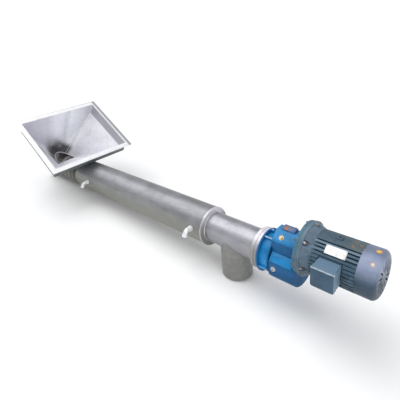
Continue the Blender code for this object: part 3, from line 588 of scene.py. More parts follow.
def coatPaint(name, look, centreZ):
    paint = Paint(name, 0.0, look["roughness"], look["coat"], 0.18, centreZ, 0.3)
    cloud = paint.noise(look["cloudScale"], 5.0, 0.6)
    fade = paint.noise(28.0, 4.0, 0.6, shift=4.0)
    colour = paint.mix(cloud.rise(0.35, 0.65), look["deep"], look["pale"])
    # noise patches of real soiling, plus painted shade darker towards the bottom
    grimeAndShade = (paint.noise(34.0, 6.0, 0.7, shift=9.0).rise(0.52, 0.70)
             + (1 - paint.z.rise(-0.11, 0.02)) * 0.5).within() * look["grimeAndShade"]
    colour = paint.mix(grimeAndShade, colour, look["grimeAndShadeColour"])
    # lighter towards the top: real dusting, and on the cowl mostly a painted highlight
    dustAndSheen = paint.z.rise(look["dustAndSheenFrom"], look["dustAndSheenFrom"] + 0.06) * (0.35 + fade * 0.9)
    colour = paint.mix((dustAndSheen * look["dustAndSheen"]).within(), colour, look["dustAndSheenColour"])
    chip = paint.noise(95.0, 5.0, 0.65, shift=1.0).rise(0.665, 0.69) * look["chips"]
    colour, shares = paint.patched(name, paint.mix(chip, colour, look["chipColour"]))
    rough = look["roughness"] + (fade - 0.5) * 0.18 + grimeAndShade * 0.2 + dustAndSheen * 0.15 * look["dustAndSheen"]
    height = paint.noise(look["grainScale"], 3.0, 0.6) * look["grain"] + cloud * 0.6 - chip * 0.8
    return paint.set(colour=colour, roughness=(rough + sum(shares) * 0.2).within(),
                     coat=(look["coat"] * (1 - grimeAndShade)).within(), normal=paint.bump(height, 0.5, 0.0006))


coatColumns = ("roughness", "coat", "cloudScale", "deep", "pale", "grimeAndShade", "grimeAndShadeColour", "dustAndSheenFrom",
               "dustAndSheen", "dustAndSheenColour", "chips", "chipColour", "grainScale", "grain")
coats = {
    "gearboxBlue": (0.42, 0.06, 14, (0.004, 0.18, 0.44), (0.006, 0.265, 0.62), 0.5, (0.004, 0.05, 0.12),
                    0.1, 0.2, (0.13, 0.3, 0.48), 0.7, (0.22, 0.3, 0.38), 260, 0.9),
    "coverBlue": (0.34, 0.1, 18, (0.008, 0.17, 0.4), (0.016, 0.245, 0.56), 0.3, (0.006, 0.05, 0.12), 0.14,
                  0.15, (0.12, 0.24, 0.38), 0.6, (0.3, 0.36, 0.42), 300, 0.5),
    "adapterPaint": (0.48, 0.05, 16, (0.038, 0.12, 0.17), (0.07, 0.19, 0.265), 0.5, (0.015, 0.022, 0.028),
                     0.06, 0.2, (0.16, 0.22, 0.26), 0.7, (0.3, 0.32, 0.32), 200, 0.6),
    "motorSlate": (0.46, 0.05, 15, (0.036, 0.075, 0.11), (0.07, 0.13, 0.185), 0.6, (0.012, 0.025, 0.035),
                   0.03, 0.25, (0.12, 0.18, 0.24), 0.5, (0.22, 0.25, 0.27), 240, 0.7),
    "shieldSlate": (0.46, 0.05, 15, (0.07, 0.115, 0.15), (0.125, 0.19, 0.25), 0.6, (0.02, 0.035, 0.045),
                    0.03, 0.25, (0.16, 0.2, 0.26), 0.5, (0.22, 0.25, 0.27), 240, 0.7),
    "boxSlate": (0.4, 0.1, 15, (0.024, 0.062, 0.105), (0.045, 0.1, 0.16), 0.4, (0.01, 0.022, 0.032), 0.01,
                 0.2, (0.14, 0.22, 0.32), 0.4, (0.24, 0.28, 0.3), 240, 0.6),
    # on the cowl the strong pale upper colour is mostly a painted highlight
    "cowlSlate": (0.34, 0.15, 12, (0.035, 0.07, 0.115), (0.06, 0.105, 0.165), 0.35, (0.02, 0.045, 0.065),
                  0.005, 0.9, (0.3, 0.35, 0.5), 0.4, (0.3, 0.3, 0.32), 300, 0.3)
}
for name, row in coats.items():        # only the gear reducer's two lie on the tube's own axis
    onTube = name in ("gearboxBlue", "coverBlue")
    paints[name] = coatPaint(name, dict(zip(coatColumns, row)), 0.0 if onTube else motorZ)


def platePaint(name, pale, dark, place=(0, 0, 0), radius=0.0, tint=None):        # the tint is a round spot
    paint = Paint(name, 0.2, 0.42)
    cloud = paint.noise(45.0, 4.0, 0.6)
    scuff = paint.noise(1.0, 3.0, 0.6, (300.0, 60.0), shift=2.0).rise(0.55, 0.75)
    colour = paint.mix((cloud.rise(0.45, 0.75) * 0.7 + scuff * 0.3).within(), pale, dark)
    if tint:
        away = (paint.x - place[0]) ** 2.0 + (paint.y - place[1]) ** 2.0 + (paint.z - place[2]) ** 2.0
        colour = paint.mix((away ** 0.5).rise(radius, radius * 0.5), colour, tint)
    return paint.set(colour=colour, roughness=(0.38 + cloud * 0.15 + scuff * 0.1).within(),
                     normal=paint.bump(cloud + scuff * 0.5, 0.3, 0.0003))


for name, *look in (
        ("plateWhite", (0.80, 0.80, 0.78), (0.50, 0.50, 0.47)),
        ("badgePale", (0.40, 0.28, 0.25), (0.22, 0.17, 0.16), (0.8455, -0.0626, 0.1841), 0.0085,
         (0.55, 0.54, 0.55)),
        ("badgeYellow", (0.80, 0.42, 0.05), (0.55, 0.24, 0.02), (0.8463, 0.0022, 0.2049), 0.0045,
         (0.85, 0.80, 0.68)),
        ("levelPaint", (0.62, 0.62, 0.62), (0.40, 0.40, 0.40), (0.4410, -0.1085, -0.0132), 0.0060,
         (0.10, 0.03, 0.025))):
    paints[name] = platePaint(name, *look)
print("materials made")


# Hopper

hopper = {"halfLength": 0.2830, "halfWidth": 0.3450, "bar": 0.0350, "thick": 0.005, "edge": 0.0009,
          "collar": 0.0910, "frontFoot": 3.0, "sheet": 0.0035, "corner": 0.006, "cornerSteps": 18,
          "fold": 0.003, "throatX": -1.6950, "throatHalfLength": 0.1400, "throatHalfWidth": 0.0700,
          "seat": 0.0846, "cope": 0.0046, "middle": (-1.55, 0, 0.28), "bead": 0.0022,
          "runs": ((0.03, 0.09), (0.18, 0.23), (0.36, 0.44), (0.55, 0.57))}
rimPlace = shift(*rimCentre) @ turned(rimSlope, "Y")


def throatPoint(angle, grow=0.0):      # on the throat's oval; at the front a wall spreads further
    if cos(angle) > 0:
        grow *= 1 + hopper["frontFoot"] * max(0.0, cos(2 * angle))
    x = hopper["throatX"] + (hopper["throatHalfLength"] + grow) * cos(angle)
    y = (hopper["throatHalfWidth"] + grow) * sin(angle)
    return Vector((x, y, sqrt(hopper["seat"] ** 2 - y * y)))


def mouth(grow=0.0):                   # half the opening's length and width
    return [hopper[key] - hopper["bar"] + grow for key in ("halfLength", "halfWidth")]


def mouthCorners(grow, depth):
    halfL, halfW = mouth(grow)
    return [rimPlace @ Vector((x * halfL, y * halfW, -depth))
            for x, y in ((1, 1), (-1, 1), (-1, -1), (1, -1))]


def hopperSkin(grow=0.0):              # collar and four walls folded down to the throat's oval
    halfL, halfW = mouth(grow)
    corner = hopper["corner"] + grow
    bm = rectangle(halfL, halfW)
    bmesh.ops.bevel(bm, geom=bm.verts[:], offset=corner, affect="VERTICES", segments=hopper["cornerSteps"],
                    profile=0.5, material=-1)
    bmesh.ops.delete(bm, geom=bm.faces[:], context="FACES_ONLY")
    moved(bm, shift(z=-hopper["thick"] - gap))
    foldVerts, foldEdges = openRing(bm, bm.edges[:])
    for vert in foldVerts:
        vert.co.z = -hopper["collar"]
    turns = {}
    for vert in openRing(bm, foldEdges)[0]:
        x, y = vert.co.xy
        turns[vert] = atan2(y - (halfW - corner if y > 0 else corner - halfW),
                            x - (halfL - corner if x > 0 else corner - halfL))
    moved(bm, rimPlace)
    for vert, angle in turns.items():
        vert.co = throatPoint(angle, grow)
    folds = [edge for edge in foldEdges if edge.calc_length() > 0.1]
    bmesh.ops.remove_doubles(bm, verts=bm.verts, dist=1e-5)
    return bm, folds


def hopperCore():                      # the hopper's outer shape as one solid, to cope the shell round it
    bm = hopperSkin(hopper["cope"])[0]
    bmesh.ops.holes_fill(bm, edges=bm.edges[:], sides=0)
    return bm


# rim: a flat bar frame
bm = rectangle(hopper["halfLength"], hopper["halfWidth"])
bmesh.ops.inset_region(bm, faces=bm.faces[:], thickness=hopper["bar"], use_even_offset=True,
                       use_boundary=True)
middle = min(bm.faces, key=lambda face: face.calc_center_median().length)
bmesh.ops.delete(bm, geom=[middle], context="FACES")
rounded(tidied(drawnOut(bm, (0, 0, -hopper["thick"]))), hopper["edge"])
for sx, sy in signs:
    outer = Vector((sx * (hopper["halfLength"] - 0.002), sy * (hopper["halfWidth"] - 0.002), -0.0006))
    addBead(bm, [outer, outer - Vector((sx, sy, 0)) * (hopper["bar"] - 0.004)], 0.0013, False, 0.002)
replace("hopper_rim", moved(bm, rimPlace), "rimSteel")

# shell: collar and walls in one sheet, thickened outwards
bm, folds = hopperSkin()
bmesh.ops.bevel(bm, geom=folds, offset=hopper["fold"], affect="EDGES", segments=2, profile=0.5, material=-1)
bmesh.ops.recalc_face_normals(bm, faces=bm.faces)
if sum(face.normal.dot(face.calc_center_median() - Vector(hopper["middle"])) * face.calc_area()
       for face in bm.faces) < 0:
    bmesh.ops.reverse_faces(bm, faces=bm.faces)
walls = ["hopper_collar"] + [f"hopper_{side}_wall" for side in ("front", "back", "near", "far")]
finish("HopperShell", thickened(bm, hopper["sheet"]), "hopperSheet", "hopper_sheet", walls,
       outside="shellSteel")

# weld beads: corner seams with short fat runs, throat, rim to collar
beads, inwards = [], hopper["bead"] * 0.3
halfL, halfW = (half - hopper["corner"] * (1 - sqrt(0.5)) - inwards for half in mouth())
for quadrant in range(4):
    turn = pi / 4 + quadrant * pi / 2
    x, y = (halfL if cos(turn) > 0 else -halfL), (halfW if sin(turn) > 0 else -halfW)
    top, fold = (rimPlace @ Vector((x, y, -depth)) for depth in (hopper["thick"] + 0.004, hopper["collar"]))
    foot = throatPoint(turn, -inwards)
    beads.append(([top, fold, foot], hopper["bead"] * 0.85, False))
    for low, high in hopper["runs"]:
        run = [fold.lerp(foot, share) for share in (low, (low + high) / 2, high)]
        beads.append((run, hopper["bead"] * 1.9, False))
weld("HopperSeamWelds", beads, "seamSteel")
weld("ThroatWeld", [([throatPoint(turn, -0.001) for turn in evenly(90, 0.0)], 0.0032)], "seamSteel")
corners = mouthCorners(hopper["sheet"], hopper["thick"] + 0.0014)
weld("CollarWeld", [(corners[2:] + corners[:2], 0.0016)])
print("hopper made")


# Tubes

pipes = {"radius": 0.0840, "wall": 0.006, "jacket": 0.1095, "feedFlange": -1.8450, "tubeEnd": 0.3130,
         "jacketStart": -1.3300, "endRing": 0.008, "endLip": 0.0015, "seam": 0.015, "seamRadius": 0.1115,
         "spoutX": 0.1500, "spoutDrop": 0.2340}
pipe, jacket, start = pipes["radius"], pipes["jacket"], pipes["jacketStart"]
bore, jacketBore = pipe - pipes["wall"], jacket - pipes["wall"]
elbow = {"at": (("water_nozzle_feed", -1.165), ("water_nozzle_drive", -0.078)), "angle": radians(98),
         "radius": 0.0135, "bore": 0.0100, "root": 0.012, "reach": 0.020, "bend": 0.026, "tail": 0.006}


def branch(x, angle=0.0):              # turns +x out of the tube, at an angle from straight down
    return shift(x) @ turned(-angle, "X") @ towardDrive


def saddle(radius, carrier, steps):    # where a pipe that leads out along +x meets the tube that carries it
    return [Vector((sqrt(max(carrier ** 2 - (radius * sin(turn)) ** 2, 0.0)), radius * sin(turn),
                    radius * cos(turn))) for turn in evenly(steps, 0.0)]


throat = bmesh.new()
bmesh.ops.create_circle(throat, cap_ends=True, segments=96, radius=1.0, matrix=Matrix.Diagonal(
    (hopper["throatHalfLength"], hopper["throatHalfWidth"], 1, 1)))
bm = carved(ring(pipes["feedFlange"] + gap, pipes["tubeEnd"] - gap, pipe, bore),
            moved(drawnOut(throat, (0, 0, 0.2)), shift(hopper["throatX"])))
bm = carved(bm, moved(disc(0.0, pipes["spoutDrop"], bore), branch(pipes["spoutX"])))
replace("screw_tube", bm, "tubeSteel")

bm = rounded(ring(0.0, pipes["spoutDrop"], pipe, bore), 0.0008, where=lambda edge: ends(edge, 0)[0] > 0.2)
bm = carved(moved(bm, branch(pipes["spoutX"])), disc(-0.05, 0.35, pipe + 2 * gap))
replace("discharge_spout", bm, "spoutSteel")

for node, low, high, outer, inner, steel in (
        ("jacket_tube", start + gap, -pipes["endRing"] - gap, jacket, jacketBore, "jacketSteel"),
        ("jacket_seam_ring", start - pipes["seam"], start, pipes["seamRadius"], pipe + gap,
         "seamRingSteel"),
        ("feed_shell", pipes["feedFlange"] + gap, start - pipes["seam"] - gap, jacket, jacketBore,
         "feedSteel")):
    bm = carved(rounded(ring(low, high, outer, inner), 0.0006, 1), hopperCore())
    if node == "jacket_tube":
        for nozzle, x in elbow["at"]:
            bm = carved(bm, moved(disc(pipe, 0.14, elbow["bore"], 48), branch(x, elbow["angle"])))
    replace(node, bm, steel)
flange("jacket_end_ring", -pipes["endRing"], 0.0, jacket + pipes["endLip"], pipe + gap, 0.001,
       "flangeSteel")

bend, tail, reach = elbow["bend"], elbow["tail"], elbow["reach"]
for node, x in elbow["at"]:
    bm = bmesh.new()                   # +z leads out of the jacket and -y is the way down
    bmesh.ops.create_circle(bm, segments=48, radius=elbow["bore"], matrix=shift(z=-elbow["root"]))
    verts, edges = openRing(bm, bm.edges[:])
    bmesh.ops.translate(bm, verts=verts, vec=(0, 0, elbow["root"] + reach))
    last = bmesh.ops.spin(bm, geom=verts + edges, cent=(0, -bend, reach), axis=(1, 0, 0),
                          angle=pi / 2, steps=18)["geom_last"]
    verts, edges = openRing(bm, [item for item in last if isinstance(item, bmesh.types.BMEdge)])
    bmesh.ops.translate(bm, verts=verts, vec=(0, -tail, 0))
    bmesh.ops.recalc_face_normals(bm, faces=bm.faces)
    if max(bm.faces, key=lambda face: face.calc_center_median().z).normal.z < 0:
        bmesh.ops.reverse_faces(bm, faces=bm.faces)
    bm = thickened(bm, elbow["radius"] - elbow["bore"])
    out = around(pi - elbow["angle"], jacket, x)
    bm = carved(moved(bm, out), disc(x - 0.05, x + 0.05, jacket + gap))
    for face in bm.faces:
        face.material_index = 0
    socket = rounded(ring(0.0, 0.011, elbow["radius"] + 0.0022, elbow["bore"] + 0.0008, 48), 0.0012)
    add(bm, socket, out @ shift(0, -bend - tail + 0.0108, reach + bend) @ turned(-pi / 2, "Z"),
        out @ shift(z=reach - 0.008) @ towardFeed @ turned(pi, "Z"))
    replace(node, bm, "elbowSteel", smooth=40)

foot = saddle(elbow["radius"] + 0.001, jacket + 0.0005, 72)
weld("NozzleWelds", [([branch(x, elbow["angle"]) @ point for point in foot], 0.0024)
                     for node, x in elbow["at"]])
weld("JacketEndWelds", [([(x, radius * sin(turn), radius * cos(turn)) for turn in evenly(120, 0.0)], size)
                        for x, radius, size in ((-0.0093, 0.1102, 0.0018), (0.0012, 0.0852, 0.0024))])
foot = saddle(pipe + 0.0004, pipe + 0.0009, 120)
weld("SpoutWeld", [([branch(pipes["spoutX"]) @ point for point in foot], 0.0026)], "tubeSteel")

# the seam where the hopper's walls pass through the feed shell
grow = hopper["sheet"] + 0.0019
corners = mouthCorners(grow, hopper["collar"])
rays = []
for quadrant in range(4):
    begin, after = quadrant * pi / 2, corners[(quadrant + 1) % 4]
    rays += [(throatPoint(begin + pi / 2 * i / 24, grow), corners[quadrant]) for i in range(25)]
    rays += [(throatPoint(begin + pi / 2, grow), corners[quadrant].lerp(after, i / 24))
             for i in range(1, 24)]
path = []
for low, high in rays:
    near, far = 0.0, 1.0
    for step in range(30):
        share = (near + far) / 2
        outside = low.lerp(high, share).yz.length > jacket + 0.0008
        near, far = (near, share) if outside else (share, far)
    path.append(low.lerp(high, near))
weld("HopperSaddleWeld", [(path, 0.0024)])
print("tubes made")


# Feed end

feedEnd = {"flange": 0.012, "plate": 0.012, "radius": 0.1115, "journalHole": 0.0206, "bolts": 8,
           "boltCircle": 0.0978, "bolt": (0.0135, 0.0072, 0.0018), "foot": 0.0550, "footThick": 0.014,
           "barrel": 0.0380, "barrelEnd": 0.0340, "length": 0.045, "footBolts": 4, "footCircle": 0.0465,
           "footBolt": (0.010, 0.006, 0.0014)}
hole, foot, barrel, end = (feedEnd[key] for key in ("journalHole", "foot", "barrel", "barrelEnd"))
x = pipes["feedFlange"]
flange("feed_end_flange", x - feedEnd["flange"], x, feedEnd["radius"], bore, 0.001, "brightSteel")
x -= feedEnd["flange"] + gap
flange("bearing_plate", x - feedEnd["plate"], x, feedEnd["radius"], hole, 0.001, "brightSteel")
x -= feedEnd["plate"]
bm = bmesh.new()
boltCircle(bm, feedEnd["bolt"], evenly(feedEnd["bolts"], pi / feedEnd["bolts"]), feedEnd["boltCircle"], x,
           towardFeed)
x -= gap
face, tip = x - feedEnd["footThick"], x - feedEnd["length"]
boltCircle(bm, feedEnd["footBolt"], evenly(feedEnd["footBolts"], pi / feedEnd["footBolts"]),
           feedEnd["footCircle"], face, towardFeed)
finish("FeedEndBolts", bm, "plugSteel", "plug_steel", smooth=30)
outline = [(x, hole), (x, foot), (face, foot), (x - feedEnd["footThick"] * 1.05, barrel + 0.002),
           (tip, end), (tip, end - 0.007), (tip + 0.003, end - 0.0085), (tip + 0.003, hole)]
bm = rounded(spun(outline, 96), 0.0016, 2)
nipple = boltShape(0.007, 0.003)
bmesh.ops.create_uvsphere(nipple, u_segments=12, v_segments=8, radius=0.0026, matrix=shift(z=0.0052))
replace("bearing_housing", add(bm, nipple, around(0.0, barrel - 0.0012, x - 0.030)), "bearingIron")
print("feed end made")


# Screw

screw = {"flightRadius": 0.0725, "thick": 0.005, "pitch": 0.150, "start": -1.830, "turns": 13.05,
         "steps": 48, "shaft": 0.0300, "journal": 0.0200, "tip": -1.9206, "from": -1.839, "to": 0.307,
         "stop": 0.35635, "ease": 0.001, "seat": 0.0004, "worn": 0.0008}
tip, journal, shaft, first, ease = (screw[key] for key in ("tip", "journal", "shaft", "from", "ease"))
outline = [(tip, 0.0), (tip, journal - ease), (tip + ease, journal), (first, journal),
           (first, shaft - ease), (first + ease, shaft), (screw["to"], shaft), (screw["to"], journal),
           (screw["stop"], journal), (screw["stop"], 0.0)]
replace("screw_shaft", spun(outline, 64), "screwSteel", body="screw")
bm = bmesh.new()
half, low, high, ease = screw["thick"] / 2, shaft + screw["seat"], screw["flightRadius"], screw["worn"]
outline = [(-half, low), (-half, high - ease), (-half + ease, high), (half - ease, high),
           (half, high - ease), (half, low)]
verts = [bm.verts.new((screw["start"] + x, 0.0, r)) for x, r in outline]
loop = [bm.edges.new(pair) for pair in zip(verts, verts[1:] + verts[:1])]
count = round(screw["turns"] * screw["steps"])
bmesh.ops.spin(bm, geom=verts + loop, cent=(0, 0, 0), axis=(1, 0, 0), steps=count,
               dvec=(screw["pitch"] / screw["steps"], 0, 0), angle=2 * pi * count / screw["steps"])
bmesh.ops.holes_fill(bm, edges=bm.edges[:], sides=0)
replace("screw_flight", bm, "screwSteel", body="screw", smooth=50)
print("screw made")


# Gear reducer

gear = {"end": 0.3130, "endFlange": 0.018, "endRadius": 0.1050, "adapter": 0.018, "flange": 0.009,
        "flangeRadius": 0.1100, "flangeBolt": (0.0135, 0.0080, 0.0018, 0.003), "boltCircle": 0.1015,
        "neckRadius": 0.0970, "neckLength": 0.053, "ribs": 4, "ribThick": 0.009, "ribRadius": 0.1080,
        "ribTurn": radians(20), "length": 0.134, "belly": 0.1110, "side": (0.1000, 0.0180),
        "waist": (0.0655, 0.0605), "shoulder": (0.0645, 0.1215), "top": (0.0220, 0.1570), "edge": 0.005,
        "hole": 0.0206}
x, hole = gear["end"], gear["hole"]
flange("tube_end_flange", x, x + gear["endFlange"], gear["endRadius"], hole, 0.0012, "flangeSteel")
x += gear["endFlange"] + gap
flange("drive_adapter_ring", x, x + gear["adapter"], gear["endRadius"] - 0.002, hole, 0.0012, "flangeSteel")
x += gear["adapter"] + gap
flange("gearbox_output_flange", x, x + gear["flange"], gear["flangeRadius"], hole, 0.0015, "gearboxBlue")
bm = bmesh.new()
boltCircle(bm, gear["flangeBolt"], [gear["ribTurn"] - radians(35) + i * pi / 2 for i in (0, 2, 3)],
           gear["boltCircle"], x + gear["flange"], towardDrive)
finish("OutputFlangeBolts", bm, "gearboxBlue", "gearbox_blue", smooth=30)
x += gear["flange"] + gap
end, r, half = x + gear["neckLength"], gear["neckRadius"], gear["ribThick"] / 2
bm = spun([(x, 0.0), (x, r - 0.002), (x + 0.012, r - 0.003), (x + 0.022, r), (end - 0.008, r),
           (end - 0.002, r + 0.004), (end, r + 0.006), (end, 0.0)], 120)
for i in range(gear["ribs"]):
    rib = rounded(block((x, -half, r * 0.8), (end, half, gear["ribRadius"])), 0.0018, 2,
                  where=lambda edge: ends(edge, 2)[0] > 0.1)
    bm = carved(bm, moved(rib, turned(gear["ribTurn"] + i * pi / 2, "X")), "UNION")
replace("gearbox_neck", bm, "gearboxBlue", smooth=30)
gearX = end + gap
(sideY, sideZ), (waistY, waistZ), (shoulderY, shoulderZ), (topY, topZ) = sides = [
    gear[key] for key in ("side", "waist", "shoulder", "top")]
bm = bmesh.new()                       # the belly is an arc, and the sides step in above it
swing = atan2(sideY, sqrt(gear["belly"] ** 2 - sideY ** 2))
arc = [swing - 2 * swing * i / 28 for i in range(29)]
outline = [(gear["belly"] * sin(turn), -gear["belly"] * cos(turn)) for turn in arc]
outline += [(-y, z) for y, z in sides] + [(y, z) for y, z in reversed(sides)]
bm.faces.new([bm.verts.new((gearX, y, z)) for y, z in outline])
rounded(tidied(drawnOut(bm, (gear["length"], 0.0, 0.0))), gear["edge"], 3, angle=20)
replace("gearbox_housing", bm, "gearboxBlue", smooth=30)

covers = {"topLength": 0.066, "topHalf": 0.018, "topHeight": 0.012, "topInset": 0.025, "sideLength": 0.112,
          "sideHeight": 0.047, "sideThick": 0.004, "sideInset": 0.006}
half, height = Vector((covers["topLength"] / 2, covers["topHalf"], 0)), Vector((0, 0, covers["topHeight"]))
low = Vector((gearX + covers["topInset"], -half.y, topZ + gap))
bm = rounded(block(low, low + 2 * half + height), 0.003, 3)
add(bm, boltShape(0.008, 0.0028), *(
    Matrix.Translation(low + half + height + Vector((sx * (half.x - 0.009), sy * (half.y - 0.008), 0)))
    for sx, sy in signs))
replace("gearbox_top_cover", bm, "coverBlue")

sidePoint, waistPoint = Vector((0, -sideY, sideZ)), Vector((0, -waistY, waistZ))
tilt = Vector((0, 0, 1)).angle(waistPoint - sidePoint)
halfL, halfH, thick = covers["sideLength"] / 2, covers["sideHeight"] / 2, covers["sideThick"]
coverPlace = (shift(gearX + covers["sideInset"] + halfL) @ Matrix.Translation((sidePoint + waistPoint) / 2)
              @ turned(-tilt, "X"))
bm = rounded(block((-halfL, -thick - gap, -halfH), (halfL, -gap, halfH)), 0.0016, 2)
add(bm, boltShape(0.006, 0.0022), *(
    shift(sx * (halfL - 0.008), -thick - gap, sz * (halfH - 0.007)) @ towardNear
    for sx in (-1, 0, 1) for sz in (-1, 1)))
replace("gearbox_side_cover", moved(bm, coverPlace), "coverBlue")

plugs = {"breather": (0.0417, 0.0485), "cap": ((0.0076, 0.0068), (0.0105, 0.0068), (0.0120, 0.0052)),
         "level": (0.0288, -0.0132), "across": 0.0165}
rise, run = topZ - shoulderZ, shoulderY - topY
x, y = plugs["breather"]
shoulder = Vector((0, -rise, run)).normalized()
shoulderOut = Vector((0, 0, 1)).rotation_difference(shoulder).to_matrix().to_4x4()
cap = plugs["cap"]                     # (height, radius) points over the hexagon
cap = spun([(cap[0][0], 0.0), *cap, (cap[-1][0] + 0.0003, 0.0)], 32)
bm = add(boltShape(plugs["across"], 0.0065, 0.0012), cap, towardFeed)
breatherPlace = shift(gearX + x, -y, shoulderZ + (shoulderY - y) * rise / run) @ shoulderOut
replace("breather_plug", moved(bm, breatherPlace), "brass")
x, z = plugs["level"]
bm = boltShape(plugs["across"], 0.0076, 0.0014)
replace("oil_level_plug", moved(bm, shift(gearX + x, -sideY, z) @ towardNear), "levelPaint")
print("gear reducer made")


# Motor

motor = {"inputRadius": 0.1250, "inputFlange": 0.0185, "flangeRadius": 0.1275, "flange": 0.019,
         "lip": 0.0120, "cone": 0.1205, "coneEnd": 0.1058, "coneAt": 0.0268, "shield": 0.0400, "bolts": 6,
         "bolt": (0.013, 0.0075, 0.0018, 0.004), "pocket": 0.0120, "circles": (0.1130, 0.1165, 0.1150),
         "length": 0.162, "fins": 40, "finRadius": 0.1050, "slotWide": 0.0080, "slotNarrow": 0.0050,
         "slotDepth": 0.0140, "slotStart": 0.0275, "landHalf": radians(18), "rearShield": 0.024,
         "cowlRadius": 0.1047, "cowlWall": 0.002, "cowlStart": 0.7970, "cowlEnd": 0.8750,
         "cowlTaper": 0.018, "grilleSlots": 16, "grille": (0.030, 0.074, 0.007)}
onMotor = shift(z=motorZ)
inputCircle, pocketCircle, shieldCircle = motor["circles"]
flangeTurns = evenly(motor["bolts"], pi / 4)
finR, cone, cowlStart = motor["finRadius"], motor["cone"], motor["cowlStart"]
x = gearX + gear["length"] + gap
bm = rounded(disc(x, x + motor["inputFlange"], motor["inputRadius"], fine, motorZ), 0.0015)
boltCircle(bm, motor["bolt"], flangeTurns, inputCircle, x, towardFeed, motorZ)
replace("gearbox_input_flange", bm, "adapterPaint")
x += motor["inputFlange"] + gap
face, lip = x + motor["flange"], x + motor["lip"]
shieldEnd = face + motor["shield"]
outline = [(x, 0.0), (x, motor["flangeRadius"]), (lip, motor["flangeRadius"]), (lip + 0.0006, cone + 0.002),
           (lip + 0.0022, cone), (face + motor["coneAt"], motor["coneEnd"]), (shieldEnd, 0.0960),
           (shieldEnd, 0.0)]
bm = rounded(spun(outline, fine, motorZ), 0.0010, 2, 25)
pockets = add(bmesh.new(), disc(lip + 0.0006, face + 0.06, motor["pocket"], 32),
              *(around(turn, pocketCircle, 0.0, motorZ) for turn in flangeTurns))
replace("motor_flange_shield", carved(bm, pockets), "shieldSlate")
bm = bmesh.new()
boltCircle(bm, motor["bolt"], flangeTurns, shieldCircle, lip + 0.0006, towardDrive, motorZ)
finish("MotorFlangeBolts", bm, "plugSteel", "plug_steel", smooth=30)

bm = disc(face + motor["coneAt"] - 0.004, cowlStart - gap, finR, 240)
wide, narrow = motor["slotWide"] / 2, motor["slotNarrow"] / 2
slots = bmesh.new()
for i in range(motor["fins"]):
    angle = radians(4.5 + 9 * i)
    if min(angle, 2 * pi - angle) < motor["landHalf"]:
        continue
    begin = face + motor["slotStart"] + (0.003 if i % 2 else 0.0)
    byBox = radians(50) < angle < radians(95)    # fine ribs round the terminal box
    slim, depth = (0.5, 0.007) if byBox else (1.0, motor["slotDepth"])
    slot = block((begin, -wide * slim, finR - depth), (cowlStart + 0.01, wide * slim, finR + 0.002))
    for vert in slot.verts:
        if vert.co.z < finR - 0.005:
            vert.co.y *= narrow / wide
    rounded(slot, 0.0032 * slim, 3,
            where=lambda edge: ends(edge, 0)[1] < begin + 0.001 and along(2, 0.005)(edge))
    add(slots, slot, turned(angle, "X"))
bm = moved(carved(bm, slots), onMotor)
box = {"x": (0.650, 0.745), "z": (0.0530, 0.1480), "front": -0.1620, "back": -0.0700, "lid": 0.022,
       "lip": 0.002, "room": 0.003}
(boxX0, boxX1), (boxZ0, boxZ1), room = box["x"], box["z"], box["room"]
bm = carved(bm, block((boxX0 - room, -0.2, boxZ0 - room), (boxX1 + room, box["back"], boxZ1 + room)))
replace("motor_frame", bm, "motorSlate", smooth=40)

lug = {"x": (0.6849, 0.7103), "half": 0.0117, "top": 0.1120, "foot": 0.0960, "hole": 0.0045}
foot, top = motorZ + lug["foot"], motorZ + lug["top"]
bm = block((lug["x"][0], -lug["half"], foot), (lug["x"][1], lug["half"], top))
rounded(bm, 0.0035, 3, where=lambda edge: ends(edge, 2)[1] > foot + 0.001)
hole = moved(disc(0.0, 0.02, lug["hole"], 32), shift(sum(lug["x"]) / 2, 0, top + 0.005) @ towardDrive)
replace("lifting_lug", carved(bm, hole), "motorSlate")

r, end, taper = motor["cowlRadius"], motor["cowlEnd"], motor["cowlTaper"]
seat = r - motor["cowlWall"]
rearEnd = shieldEnd + gap + motor["length"] + gap + motor["rearShield"]
bm = disc(cowlStart, rearEnd, seat - gap, fine, motorZ)
replace("motor_rear_shield", rounded(bm, 0.002), "motorSlate")
outline = [(cowlStart, seat), (cowlStart, r), (end - taper, r), (end - 0.010, r - 0.0045),
           (end - 0.0035, r - 0.0120), (end, r - taper - 0.004), (end, 0.0), (end - 0.002, 0.0),
           (end - 0.002, seat - taper - 0.004), (end - 0.0055, seat - 0.0120), (end - 0.012, seat - 0.0045),
           (end - taper - 0.001, seat)]
inner, outer, width = motor["grille"]
grille = rounded(block((end - 0.012, -width / 2, inner), (end + 0.01, width / 2, outer)), width * 0.45, 3,
                 where=along(0, 0.01))
grille = add(bmesh.new(), grille, *(turned(turn, "X") for turn in evenly(motor["grilleSlots"], 0.0)))
replace("fan_cowl", moved(carved(rounded(spun(outline, fine), 0.0006, 1), grille), onMotor), "cowlSlate")

badge = {"radius": 0.0110, "thick": 0.0012, "rim": 0.0012, "lift": 0.0006, "each": (
    ("CowlDiscYellow", "badgeYellow", 0.8463, -1.2, "breather_brass"),
    ("CowlDiscPale", "badgePale", 0.8455, 36.5, "nameplate_white"))}
for name, paint, x, angle, slot in badge["each"]:          # round plates bent to the cowl
    bm = bmesh.new()
    bmesh.ops.create_circle(bm, cap_ends=True, segments=40, radius=badge["radius"])
    for width, depth in ((badge["rim"], -0.0002),) + ((badge["radius"] * 0.25, 0.0),) * 3:
        centre = min(bm.faces, key=lambda face: (face.calc_center_median().length, -len(face.verts)))
        bmesh.ops.inset_region(bm, faces=[centre], thickness=width, depth=depth)
    drawnOut(bm, (0, 0, -badge["thick"]))
    for vert in bm.verts:
        vert.co.z += sqrt(r ** 2 - vert.co.y ** 2) - r
    finish(name, moved(bm, around(radians(angle), r + badge["lift"], x, motorZ)), paint, slot)

